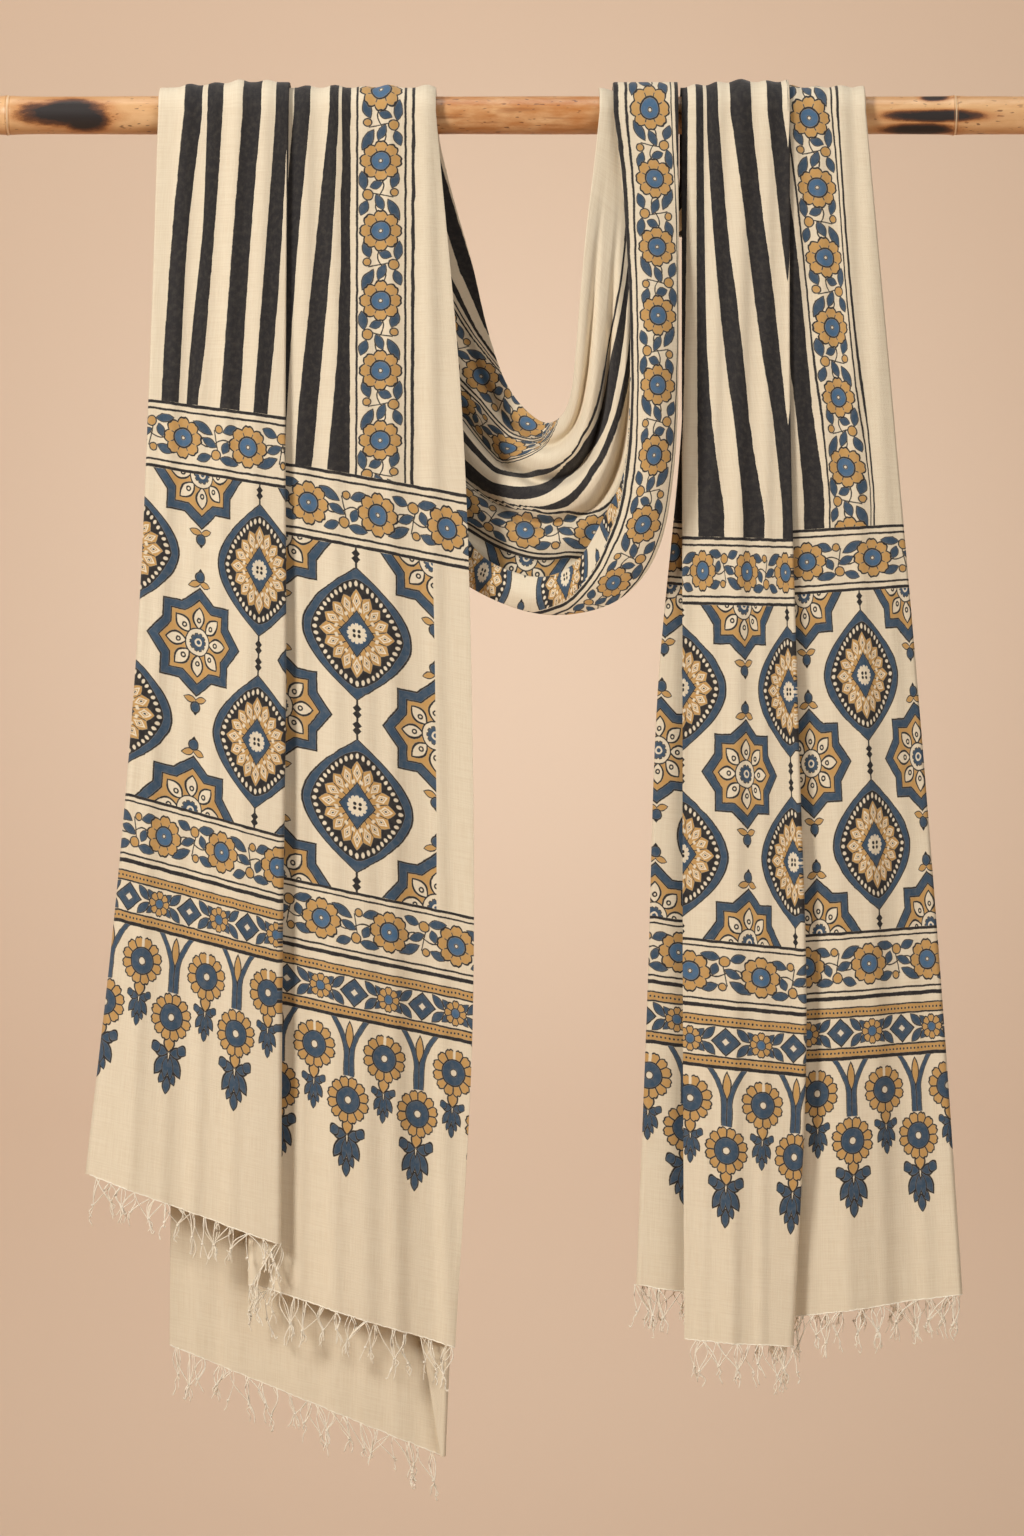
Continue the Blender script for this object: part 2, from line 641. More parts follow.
def swag_prints(columns, runs, stations):
    """The swag's rows, with print names column by column."""
    points = np.array([swag_row(columns, s) for s in stations])
    lines = [(n, *row) for n, row in enumerate(SWAG_LINES)]
    u = np.zeros(points.shape[:2])
    v = np.zeros(points.shape[:2])
    for n, station in enumerate(stations):
        row = read_table(lines, station)
        inner, outer = row[0:2], row[2:4]
        width = float(np.linalg.norm(outer - inner))
        place = points[n][:, (0, 2)] - inner
        share = place @ (outer - inner) / width**2
        length = width / PHOTO_MM
        roll = marks_to_u(share, station, ROLL_SHARES, ROLL_MARKS, length)
        rear = marks_to_u(share, station, REAR_SHARES, REAR_MARKS, length)
        front = np.arange(len(columns)) > runs[3][1]
        u[n] = np.where(front, roll, rear)
        reach = smooth_share((station - 2.5) / 3.0) * smooth_share((13.0 - station) / 3.0)
        fade = smooth_share((0.92 - share) / 0.1) * (1.0 - front)
        for centre, half, depth in SWAG_TROUGHS:
            points[n][:, 1] += depth * reach * fade * bump(share, centre, half)
    v[1:] = np.cumsum(np.linalg.norm(np.diff(points, axis=0), axis=2), axis=0)
    length = band_line(lines, stations, ROLL_SHARES, ROLL_MARKS, BAND_MIDDLE)[1]
    v = np.where(u > ROLL_MARKS[0], (v - v[-1]) / PHOTO_MM, (length - length[-1])[:, None])
    bands = along_rear_lines(lines, stations)
    rear = np.arange(len(columns)) <= runs[3][1]
    line = np.searchsorted(REAR_LINE_ENDS, u)
    v = np.where(rear, bands[line, np.arange(len(stations))[:, None]], v)
    names = ["roll" if c >= runs[3][1] else "rear" for c in range(len(columns) - 1)]
    return points, names, u, v


ARC_STEPS = 10
SWAG_STEPS = 112
LOOP_STEPS = 26


def cloth_blocks(columns):
    """All rows of the fine sheet in blocks that share their boundary rows."""
    runs = run_slices(columns)
    left, left_shares = tail_sheet(
        columns, LEFT_TAIL, LEFT_DROP, LEFT_LEVELS, LEFT_RIPPLES, LEFT_BORDERS)
    right, right_shares = tail_sheet(
        columns, RIGHT_TAIL, RIGHT_DROP, RIGHT_LEVELS, RIGHT_RIPPLES, RIGHT_BORDERS)
    left_zones = tail_prints(columns, runs, left, left_shares, LEFT_DROP,
                             ("left_", LEFT_BODY, LEFT_FIELD, LEFT_UPPER, LEFT_LOWER,
                              (None, None, None), LEFT_CREASES))
    right_zones = tail_prints(columns, runs, right, right_shares, RIGHT_DROP,
                              ("right_", RIGHT_BODY, RIGHT_FIELD, RIGHT_UPPER, RIGHT_LOWER,
                               (RIGHT_UPPER_BACK, RIGHT_BACK_COLUMN, RIGHT_LOWER_BACK),
                               RIGHT_CREASES))
    stations = np.linspace(0.0, len(SWAG_LINES) - 1, SWAG_STEPS)
    swag, swag_names, swag_u, swag_v = swag_prints(columns, runs, stations)

    left_knots = read_table(LEFT_TAIL, 0.0)
    right_knots = read_table(RIGHT_TAIL, 0.0)
    last = len(SWAG_LINES) - 1
    inner_x, outer_x = SWAG_LINES[last][0], SWAG_LINES[last][2]
    folds = np.concatenate([[0.0], read_table(SWAG_FOLDS, last)])
    arm_knots = inner_x + (outer_x - inner_x) * folds

    def over_rod(knots, levels, back_first, creases=()):
        """Rows over the rod with their angles, and with a tail's creases raised."""
        angles = [math.pi * n / ARC_STEPS for n in range(ARC_STEPS + 1)]
        if back_first:
            angles = angles[::-1]
        rows = np.array([arc_row(columns, knots, levels, angle) for angle in angles])
        for row, angle in zip(rows, angles):
            height = np.zeros(len(columns))
            for top, foot, half, depth in creases:
                height += depth * bump(row[:, 0], (top - PHOTO_MIDDLE) * PHOTO_MM, half)
            height *= CREASE_FADE[0][1] * smooth_share((math.pi - angle) / 1.6)
            row[:, 1] -= height * math.cos(angle)
            row[:, 2] += height * math.sin(angle)
        return rows, angles

    def held(u_row, count):
        """One row of print places, the same for a number of rows."""
        return np.repeat(u_row[None, :], count, axis=0)

    blocks = flipped(left_zones)
    arc, angles = over_rod(left_knots, LEFT_LEVELS, False, LEFT_CREASES)
    blocks.append((arc, "left_body", held(left_zones[0][2][0], len(arc)),
                   held(np.zeros(len(columns)), len(arc))
                   - (np.array(angles) * BASE / PHOTO_MM)[:, None]))
    blocks.append((swag, swag_names, swag_u, swag_v))
    arc, angles = over_rod(arm_knots, ARM_LEVELS, False)
    start = (np.array(angles) * BASE / PHOTO_MM)[:, None] + swag_v[-1]
    blocks.append((arc, swag_names, held(swag_u[-1], len(arc)), start))
    shares = np.linspace(0.0, 1.0, LOOP_STEPS)
    loop = np.array([loop_row(columns, arm_knots, right_knots, s) for s in shares])
    half = LOOP_STEPS // 2
    down = (shares * 2 * LOOP_DROP / PHOTO_MM)[:, None] + np.zeros(len(columns))
    blocks.append((loop[:half + 1], swag_names, held(swag_u[-1], half + 1),
                   down[:half + 1] + start[-1]))
    body_row = right_zones[0][2][0]
    back = LOOP_STEPS - half
    blocks.append((loop[half:], "right_body", held(body_row, back), down[half:] - down[-1]
                   - math.pi * BASE / PHOTO_MM))
    arc, angles = over_rod(right_knots, RIGHT_LEVELS, True, RIGHT_CREASES)
    blocks.append((arc, "right_body", held(body_row, len(arc)),
                   held(np.zeros(len(columns)), len(arc))
                   - (np.array(angles) * BASE / PHOTO_MM)[:, None]))
    return blocks + right_zones


def sheet_mesh(name, blocks, prints):
    """One sheet of square faces through the blocks' rows, with its print places."""
    points = [blocks[0][0][:1]]
    owner = []
    for number, block in enumerate(blocks):
        points.append(block[0][1:])
        owner += [number] * (len(block[0]) - 1)
    points = np.concatenate(points) * MM
    first_row = {}
    for row, number in enumerate(owner):
        first_row.setdefault(number, row)
    down, across = points.shape[0] - 1, points.shape[1] - 1
    sheet = bmesh.new()
    bmesh.ops.create_grid(sheet, x_segments=across, y_segments=down, size=0.5)
    place = {}
    for vert in sheet.verts:
        column = round((vert.co.x + 0.5) * across)
        row = round((vert.co.y + 0.5) * down)
        place[vert] = (row, column)
        vert.co = points[row, column]
    layer = sheet.loops.layers.uv.new("print")
    for face in sheet.faces:
        row = min(place[vert][0] for vert in face.verts)
        column = min(place[vert][1] for vert in face.verts)
        number = owner[row]
        block_points, kind, u, v = blocks[number]
        kind = kind if isinstance(kind, str) else kind[column]
        face.material_index = prints.index(kind)
        face.smooth = True
        for loop in face.loops:
            r, c = place[loop.vert]
            r -= first_row[number]
            loop[layer].uv = (u[r, c], v[r, c])
    bmesh.ops.recalc_face_normals(sheet, faces=sheet.faces)
    mesh = bpy.data.meshes.new(name)
    sheet.to_mesh(mesh)
    sheet.free()
    return mesh


def add_piece(name, mesh, materials, slot_name, *replaced):
    """Put a piece in the scene, riding on the one body."""
    piece = bpy.data.objects.new(name, mesh)
    for material in materials:
        mesh.materials.append(material)
    bpy.context.scene.collection.objects.link(piece)
    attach(piece, "root")
    if replaced:
        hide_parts(*replaced)
    return piece


# The print: motifs as node groups, laid one over another as inks.

INK_NONE, INK_OCHRE, INK_BLUE, INK_BLACK = (0, 0, 0), (1, 0, 0), (0, 1, 0), (0, 0, 1)
INK_BRIGHT = (0, 0.72, 0)


class Value:
    """A number that changes over the surface, worked out with Math nodes."""

    def __init__(self, tree, socket):
        self.tree, self.socket = tree, socket

    def math(self, operation, *others, clamp=False):
        node = self.tree.nodes.new("ShaderNodeMath")
        node.operation, node.use_clamp = operation, clamp
        for slot_number, other in enumerate((self, *others)):
            if isinstance(other, Value):
                self.tree.links.new(other.socket, node.inputs[slot_number])
            else:
                node.inputs[slot_number].default_value = other
        return Value(self.tree, node.outputs[0])

    def __add__(self, other):
        return self.math("ADD", other)

    def __sub__(self, other):
        return self.math("SUBTRACT", other)

    def __mul__(self, other):
        return self.math("MULTIPLY", other)

    def __truediv__(self, other):
        return self.math("DIVIDE", other)

    def __rsub__(self, other):
        return (self * -1.0) + other

    def size(self):
        return self.math("ABSOLUTE")

    def least(self, other):
        return self.math("MINIMUM", other)

    def most(self, other):
        return self.math("MAXIMUM", other)

    def below(self, limit, soft=0.6):
        """1 where the value is under a limit, with a soft edge."""
        return self.math("MULTIPLY_ADD", -1.0 / soft, limit / soft + 0.5, clamp=True)

    def above(self, limit, soft=0.6):
        """1 where the value is over a limit, with a soft edge."""
        return self.math("MULTIPLY_ADD", 1.0 / soft, 0.5 - limit / soft, clamp=True)

    def near(self, place, half, soft=0.6):
        """1 within half of a place."""
        return (self - place).size().below(half, soft)

    def repeat(self, period, centre=0.0):
        """Distance from the nearest of the places a period apart."""
        shifted = self.math("MULTIPLY_ADD", 1.0 / period, 0.5 - centre / period)
        return shifted.math("FRACT").math("MULTIPLY_ADD", period, -0.5 * period)


def power(value, exponent):
    """A value raised to a power."""
    return value.math("POWER", exponent)


def distance(x, y):
    """Distance of a place from the middle of its motif."""
    return (x * x + y * y).math("SQRT")


def new_group(name, inputs, outputs):
    """A shader node group with named sockets. Gives the tree, its inputs and its outputs."""
    tree = bpy.data.node_groups.new(name, "ShaderNodeTree")
    for socket_name, kind in inputs:
        tree.interface.new_socket(socket_name, in_out="INPUT", socket_type=kind)
    for socket_name, kind in outputs:
        tree.interface.new_socket(socket_name, in_out="OUTPUT", socket_type=kind)
    entry = tree.nodes.new("NodeGroupInput")
    leave = tree.nodes.new("NodeGroupOutput")
    values = [Value(tree, entry.outputs[socket_name]) for socket_name, kind in inputs]
    return tree, values, leave


NUMBER, COLOUR = "NodeSocketFloat", "NodeSocketColor"
MOTIF_IN = (("Across", NUMBER), ("Along", NUMBER), ("Ink", COLOUR))
MOTIF_OUT = (("Ink", COLOUR),)


def use_group(tree, group, *values):
    """Place a group and feed its inputs in order."""
    node = tree.nodes.new("ShaderNodeGroup")
    node.node_tree = group
    for slot_number, value in enumerate(values):
        if isinstance(value, Value):
            tree.links.new(value.socket, node.inputs[slot_number])
        else:
            node.inputs[slot_number].default_value = value
    return Value(tree, node.outputs[0])


def paint(ink, colour, mask):
    """Lay one ink, or plain cloth, over what is printed so far."""
    node = ink.tree.nodes.new("ShaderNodeMix")
    node.data_type = "RGBA"
    ink.tree.links.new(mask.socket, node.inputs[0])
    ink.tree.links.new(ink.socket, node.inputs[6])
    if isinstance(colour, Value):
        ink.tree.links.new(colour.socket, node.inputs[7])
    else:
        node.inputs[7].default_value = (*colour, 1.0)
    return Value(ink.tree, node.outputs[2])


def leaf(x, y, centre, length, width, degrees):
    """A leaf's signed size: under 0 inside, about 0.35 at its outline."""
    c, s = math.cos(math.radians(degrees)), math.sin(math.radians(degrees))
    dx, dy = x - centre[0], y - centre[1]
    along = dx * (2 * c / length) + dy * (2 * s / length)
    across = (dy * (2 * c / width) - dx * (2 * s / width)).size()
    return across + along * along - 1.0


def petals(x, y, radius, count, scallop, turn=0.5):
    """Polar places of a flower: distance to its middle, to its edge, and to a petal's side."""
    r = distance(x, y)
    angle = y.math("ARCTAN2", x).math("MULTIPLY_ADD", count / (2 * math.pi), turn + count)
    side = (angle.math("FRACT") - 0.5).size() * 2.0
    notch = side.math("MULTIPLY_ADD", -0.35 * scallop * radius / 0.3, 0.35 * scallop * radius,
                      clamp=True)
    edge = r - (side * side).math("MULTIPLY_ADD", -scallop * radius, radius) + notch
    line = (1.0 - side) * r * (math.pi / count)
    return r, edge, line


def flower_group():
    """A border's flower: eight ochre petals round a bright blue disc."""
    tree, (x, y, ink), leave = new_group("border_flower", MOTIF_IN, MOTIF_OUT)
    r, edge, line = petals(x, y, 20.5, 8, 0.2)
    ink = paint(ink, INK_OCHRE, edge.below(0.0))
    ink = paint(ink, INK_BLACK, line.below(0.55) * edge.below(-3.0) * r.above(8.5))
    ink = paint(ink, INK_BLACK, edge.near(0.0, 0.95))
    ink = paint(ink, INK_BRIGHT, r.below(9.6))
    ink = paint(ink, INK_BLACK, r.near(9.6, 0.9).most(r.near(1.9, 0.5)))
    ink = paint(ink, INK_NONE, r.below(1.3))
    tree.links.new(ink.socket, leave.inputs[0])
    return tree


VINE_LEAVES = (
    # place along and across the band, length, width, turn in degrees
    ((-16.0, -13.5), 17.0, 8.5, 20.0), ((14.0, -12.5), 23.0, 9.0, -28.0),
    ((-11.0, 4.5), 13.0, 8.0, 70.0), ((6.5, 1.0), 17.0, 8.0, -25.0),
    ((-15.0, 17.0), 19.0, 8.5, -8.0), ((12.0, 16.5), 16.0, 8.5, 20.0),
)
VINE_BUDS = (((-3.5, -13.0), 3.8), ((-1.0, 12.5), 5.0))


def vine_group():
    """The leaves, buds and stems between two flowers of a border."""
    tree, (x, y, ink), leave = new_group("border_vine", MOTIF_IN, MOTIF_OUT)
    stem = (x * 0.16).math("SINE") * 4.0
    ink = paint(ink, INK_BLACK, (y - stem).near(1.0, 0.7) * x.size().below(17.0))
    ink = paint(ink, INK_BLACK, (x + y * 0.2).near(-1.0, 0.6) * y.size().below(12.0))
    nearest = None
    for centre, length, width, turn in VINE_LEAVES:
        one = leaf(x, y, centre, length, width, turn)
        nearest = one if nearest is None else nearest.least(one)
    ink = paint(ink, INK_BLACK, nearest.below(0.16, 0.14))
    ink = paint(ink, INK_BLUE, nearest.below(-0.12, 0.14))
    bud = None
    for centre, radius in VINE_BUDS:
        one = distance(x - centre[0], y - centre[1]) - radius
        bud = one if bud is None else bud.least(one)
    ink = paint(ink, INK_BLACK, bud.below(0.7))
    ink = paint(ink, INK_OCHRE, bud.below(-0.6))
    tree.links.new(ink.socket, leave.inputs[0])
    return tree


flower = flower_group()
vine = vine_group()


def flower_band_group():
    """A band of flowers and vines: Across is from the band's middle."""
    tree, (x, y, ink), leave = new_group("flower_band", MOTIF_IN, MOTIF_OUT)
    step = y.repeat(FLOWER_STEP)
    between = y.repeat(FLOWER_STEP, FLOWER_STEP / 2)
    turn = (y.repeat(2 * FLOWER_STEP, FLOWER_STEP)).math("SIGN")
    over = use_group(tree, vine, between, x * turn, ink)
    over = use_group(tree, flower, step, x, over)
    ink = paint(ink, over, x.size().below(21.5))
    tree.links.new(ink.socket, leave.inputs[0])
    return tree


flower_band = flower_band_group()


OVAL_HALF = (55.0, 64.0)
OVAL_INNER_HALF = (47.5, 53.0)
OVAL_ROUND = 1.45
OVAL_DOTS = 11
OVAL_PETALS = 4


def medallion_group():
    """The field's repeat: columns of pointed medallions and of eight-pointed stars."""
    tree, (u, v, ink), leave = new_group("medallions", MOTIF_IN, MOTIF_OUT)
    # medallions on even columns, at half a repeat
    x = u.repeat(2 * COLUMN).size()
    y = v.repeat(PITCH, PITCH / 2).size()
    half_x, half_y = OVAL_HALF
    arch = (y * (math.pi / 2 / half_y)).least(math.pi / 2).math("COSINE")
    d = (x - arch * half_x) * 0.8
    ink = paint(ink, INK_BLUE, d.below(0.0))
    ink = paint(ink, INK_BLACK, d.near(0.0, 0.9))
    in_x, in_y = OVAL_INNER_HALF
    ring = power(power(x / in_x, OVAL_ROUND) + power(y / in_y, OVAL_ROUND), 1 / OVAL_ROUND)
    turn = (y / in_y).math("ARCTAN2", x / in_x)
    ink = paint(ink, INK_BLACK, ring.below(1.0, 0.014))
    quarter = math.pi / 2
    dot = turn.math("MULTIPLY_ADD", OVAL_DOTS / quarter, 0.5).math("FRACT") - 0.5
    dot_size = distance(dot * ring * (in_x * quarter / OVAL_DOTS), (ring - 0.91) * 34.0)
    ink = paint(ink, INK_NONE, dot_size.below(1.75))
    petal = turn.math("MULTIPLY_ADD", OVAL_PETALS / quarter, 0.5)
    side = (petal.math("FRACT") - 0.5).size() * 2.0
    edge = ring + side * 0.13
    ink = paint(ink, INK_OCHRE, edge.below(0.82, 0.02))
    ink = paint(ink, INK_BLACK, edge.near(0.82, 0.012, 0.02))
    side_line = (1.0 - side) * ring
    ink = paint(ink, INK_BLACK, side_line.below(0.05, 0.03) * edge.below(0.8, 0.02))
    heart = (ring - 0.60).size() * 3.6 + side * 0.75
    ink = paint(ink, INK_NONE, heart.below(0.56, 0.05))
    speck = distance((ring - 0.60) * 40.0, side * 8.0)
    ink = paint(ink, INK_BLACK, speck.below(1.1))
    ink = paint(ink, INK_OCHRE, heart.near(0.30, 0.055, 0.05))
    ink = paint(ink, INK_NONE, (ring - 0.46).size().below(0.035, 0.02) * side.above(0.55, 0.1))
    diamond = x * (1 / 17.5) + y * (1 / 22.0)
    ink = paint(ink, INK_BLACK, diamond.below(1.06, 0.03))
    ink = paint(ink, INK_BLUE, diamond.below(0.97, 0.03))
    r, gear, line = petals(x, y, 10.5, 12, 0.22)
    ink = paint(ink, INK_NONE, gear.below(0.0))
    cross = distance(x - 2.6, y - 2.2)
    ink = paint(ink, INK_BLACK, cross.below(1.7))
    # ticks between the medallions
    tick_y = (v.repeat(PITCH).size() - 8.2).size()
    tick = x + (tick_y - 2.8).size()
    ink = paint(ink, INK_BLACK, tick.below(4.6))
    # stars on odd columns, at whole repeats
    x = u.repeat(2 * COLUMN, COLUMN).size()
    y = v.repeat(PITCH).size()
    long, short = x.most(y), x.least(y)
    outer = (long - 38.0).least((short + long * 1.24 - 66.0) * 0.62)
    ink = paint(ink, INK_BLUE, outer.below(0.0))
    ink = paint(ink, INK_BLACK, outer.near(0.0, 0.9))
    inner = (long - 29.5).least((short + long * 1.24 - 51.5) * 0.62)
    ink = paint(ink, INK_OCHRE, inner.below(0.0))
    ink = paint(ink, INK_BLACK, inner.near(0.0, 0.8))
    r = distance(x, y)
    fold = (y.math("ARCTAN2", x).math("MULTIPLY_ADD", 4 / math.pi, 0.5)
            .math("FRACT") - 0.5).size() * (math.pi / 4)
    drop_y = r * fold.math("SINE")
    drop_x = r * fold.math("COSINE") - 23.5
    drop = drop_y * (1 / 6.2) + (drop_x * (1 / 10.5)) * (drop_x * (1 / 10.5))
    ink = paint(ink, INK_BLACK, drop.below(1.22, 0.1))
    ink = paint(ink, INK_NONE, drop.below(0.86, 0.1))
    ink = paint(ink, INK_BLACK, distance(drop_x + 2.0, drop_y).near(2.0, 0.8))
    ink = paint(ink, INK_BLACK, r.below(14.4))
    ink = paint(ink, INK_NONE, r.below(13.0))
    r, gear, line = petals(x, y, 9.3, 10, 0.22)
    ink = paint(ink, INK_BLACK, gear.below(0.5))
    ink = paint(ink, INK_BLUE, gear.below(-0.7))
    ink = paint(ink, INK_NONE, r.near(3.2, 1.0))
    # buds at the stars' upper and lower points
    wing = leaf(x, y, (6.0, 57.0), 13.5, 6.2, -14.0)
    ink = paint(ink, INK_BLACK, wing.below(0.22, 0.14))
    ink = paint(ink, INK_OCHRE, wing.below(-0.14, 0.14))
    bud = distance(x, y - 64.5)
    ink = paint(ink, INK_BLACK, bud.below(6.0).most((x + (y - 70.5).size()).below(2.4)))
    ink = paint(ink, INK_BLUE, bud.below(4.5))
    tree.links.new(ink.socket, leave.inputs[0])
    return tree


CHAIN_STEP = 75.0


def chain_group():
    """The narrow chain of rosettes, lozenges and leaf pairs: Across from its middle."""
    tree, (x, y, ink), leave = new_group("chain_band", MOTIF_IN, MOTIF_OUT)
    rosette = y.repeat(CHAIN_STEP)
    lozenge = y.repeat(CHAIN_STEP, CHAIN_STEP / 2)
    across = x.size()
    line = across + lozenge.size() * 0.9
    ink = paint(ink, INK_BLACK, line.below(14.6))
    ink = paint(ink, INK_BLUE, line.below(12.6))
    ink = paint(ink, INK_BLACK, line.near(5.0, 0.5))
    ink = paint(ink, INK_NONE, line.below(3.6))
    pair = lozenge.size()
    for out, along, length, width in ((28.0, 6.2, 14.0, 6.2), (18.0, 7.4, 17.5, 7.6)):
        blade = leaf(pair, across, (out, along), length, width, -44.0)
        ink = paint(ink, INK_BLACK, blade.below(0.22, 0.16))
        ink = paint(ink, INK_BLUE, blade.below(-0.12, 0.16))
    r, edge, side = petals(x, rosette, 12.4, 8, 0.2)
    ink = paint(ink, INK_BLACK, edge.below(0.9))
    ink = paint(ink, INK_OCHRE, edge.below(-0.6) * side.above(0.6))
    ink = paint(ink, INK_BLACK, r.below(5.4))
    ink = paint(ink, INK_BRIGHT, r.below(4.2))
    ink = paint(ink, INK_BLACK, across.near(15.0, 0.5))
    tree.links.new(ink.socket, leave.inputs[0])
    return tree


CLUSTER_LEAVES = (
    # down and out from the flower's foot, length, width, turn in degrees
    (34.0, 0.0, 17.0, 7.5, 0.0), (26.0, 5.0, 15.0, 6.5, 24.0), (14.0, 8.0, 24.0, 9.5, 30.0),
    (17.0, 2.6, 21.0, 6.2, 4.0), (1.5, 9.0, 15.0, 9.5, 96.0), (-1.5, 14.5, 10.5, 10.5, 60.0),
)


def drops_group():
    """Hanging flowers on forked stems: Across is down from the border, Along from a flower."""
    tree, (x, y, ink), leave = new_group("hanging_drops", MOTIF_IN, MOTIF_OUT)
    upper = y.repeat(DROP_STEP).size()
    lower = y.repeat(DROP_STEP, DROP_STEP / 2).size()
    # forked stem over the lower flower
    fork = power((1.0 - x * (1 / 34.0)).most(0.0), 1.7) * 15.0 + 2.9
    stem = (lower - fork).size()
    upper_part = x.below(56.0)
    ink = paint(ink, INK_BLACK, stem.below(3.3) * upper_part)
    ink = paint(ink, INK_BLUE, stem.below(2.2) * upper_part)
    spear = leaf(x, lower, (16.0, 0.0), 27.0, 8.0, 0.0)
    ink = paint(ink, INK_BLACK, spear.below(0.2, 0.14))
    ink = paint(ink, INK_OCHRE, spear.below(-0.15, 0.14))
    for along, centre, reach, size in ((upper, 32.0, 66.0, 0.70), (lower, 80.0, 113.0, 1.0)):
        # leaves under the flower, from the tip up to the two round ones at the top
        for down, out, length, width, turn in CLUSTER_LEAVES:
            blade = leaf(x, along, (reach + down * size, out * size), length * size,
                         width * size, turn)
            ink = paint(ink, INK_BLACK, blade.below(0.32, 0.16))
            ink = paint(ink, INK_BLUE, blade.below(-0.12, 0.16))
        dx = x - centre
        point = leaf(dx, along, (25.5, 0.0), 17.0, 10.5, 0.0)
        ink = paint(ink, INK_BLACK, point.below(0.26, 0.14))
        ink = paint(ink, INK_OCHRE, point.below(-0.10, 0.14))
        r, edge, side = petals(dx, along, 23.5, 12, 0.16, 0.0)
        ink = paint(ink, INK_BLACK, edge.below(1.0))
        ink = paint(ink, INK_OCHRE, edge.below(-0.7) * side.above(0.8))
        ink = paint(ink, INK_BLACK, r.below(13.8))
        ink = paint(ink, INK_BLUE, r.below(12.2))
        ink = paint(ink, INK_BLACK, r.near(3.9, 0.6))
        ink = paint(ink, INK_NONE, r.below(3.2))
        if centre < reach - 33.5:
            ink = paint(ink, INK_NONE, along.below(1.5) * dx.below(-13.5) * edge.below(2.0))
    tree.links.new(ink.socket, leave.inputs[0])
    return tree


medallions = medallion_group()
chain = chain_group()
drops = drops_group()


def hand_print_group():
    """Moves a place of the print a little, as a block set down by hand does."""
    tree, (u, v), leave = new_group(
        "hand_print", (("Across", NUMBER), ("Along", NUMBER)),
        (("Across", NUMBER), ("Along", NUMBER)))
    place = tree.nodes.new("ShaderNodeCombineXYZ")
    tree.links.new(u.socket, place.inputs[0])
    tree.links.new(v.socket, place.inputs[1])
    shifted = []
    for number, value in enumerate((u, v)):
        for scale, reach in ((0.07, 1.7), (0.45, 0.7)):
            noise = tree.nodes.new("ShaderNodeTexNoise")
            noise.inputs["Scale"].default_value = scale
            noise.inputs["Detail"].default_value = 1.0
            noise.inputs["Distortion"].default_value = 0.3 * number
            tree.links.new(place.outputs[0], noise.inputs["Vector"])
            output = noise.outputs["Fac"]
            value = value + (Value(tree, output) - 0.5) * (reach * (1 - 2 * number))
        shifted.append(value)
    for value, socket in zip(shifted, leave.inputs):
        tree.links.new(value.socket, socket)
    return tree


def noise_at(tree, place, scale, detail=2.0, stretch=None, roughness=0.5):
    """A noise value at a place, with the place stretched across and along."""
    if stretch is not None:
        mapping = tree.nodes.new("ShaderNodeMapping")
        mapping.inputs["Scale"].default_value = (*stretch, 1.0)
        tree.links.new(place, mapping.inputs["Vector"])
        place = mapping.outputs[0]
    noise = tree.nodes.new("ShaderNodeTexNoise")
    noise.inputs["Scale"].default_value = scale
    noise.inputs["Detail"].default_value = detail
    noise.inputs["Roughness"].default_value = roughness
    tree.links.new(place, noise.inputs["Vector"])
    return Value(tree, noise.outputs["Fac"])


CREAM = (0.80, 0.70, 0.53)
CREAM_SHADE = (0.71, 0.59, 0.42)
OCHRE = (0.53, 0.30, 0.095)
BLUE = (0.038, 0.074, 0.122)
BRIGHT = (0.060, 0.135, 0.240)
BLACK = (0.020, 0.018, 0.019)


def dyed_cotton_group():
    """Turns printed ink into cloth colour and height, with weave and uneven dye."""
    tree, (u, v, ink), leave = new_group(
        "dyed_cotton", MOTIF_IN, (("Color", COLOUR), ("Height", NUMBER), ("Rough", NUMBER)))
    place_node = tree.nodes.new("ShaderNodeCombineXYZ")
    tree.links.new(u.socket, place_node.inputs[0])
    tree.links.new(v.socket, place_node.inputs[1])
    place = place_node.outputs[0]
    split = tree.nodes.new("ShaderNodeSeparateColor")
    tree.links.new(ink.socket, split.inputs[0])
    ochre, blue, black = (Value(tree, split.outputs[n]) for n in range(3))
    slub_down = noise_at(tree, place, 1.0, 2.0, (0.9, 0.03))
    slub_across = noise_at(tree, place, 1.0, 2.0, (0.03, 0.9))
    cloud = noise_at(tree, place, 0.02, 3.0)
    patch = noise_at(tree, place, 0.16, 4.0, None, 0.6)
    grain = noise_at(tree, place, 1.6, 1.0)
    colour = new_colour(tree, CREAM)
    shade = (slub_down + slub_across).math("MULTIPLY_ADD", 2.4, -2.0, clamp=True)
    colour = paint(colour, CREAM_SHADE, shade * 0.6 + cloud * 0.2)
    wear = patch.math("MULTIPLY_ADD", -2.2, 1.95, clamp=True)
    wear = wear * grain.math("MULTIPLY_ADD", -0.5, 1.2, clamp=True)
    indigo = paint(new_colour(tree, BRIGHT), BLUE, blue.above(0.86, 0.12))
    colour = paint(colour, OCHRE, ochre * (wear * 0.14 + 0.85))
    colour = paint(colour, indigo, (blue * 1.39).least(1.0) * (wear * 0.10 + 0.90))
    colour = paint(colour, BLACK, black * (wear * 0.06 + 0.94))
    warp = (u * (2 * math.pi)).math("SINE")
    weft = (v * (2 * math.pi)).math("SINE")
    height = warp * weft * 0.10 + slub_down * 0.5 + slub_across * 0.5
    tree.links.new(colour.socket, leave.inputs[0])
    tree.links.new(height.socket, leave.inputs[1])
    tree.links.new((patch * 0.12 + 0.80).socket, leave.inputs[2])
    return tree


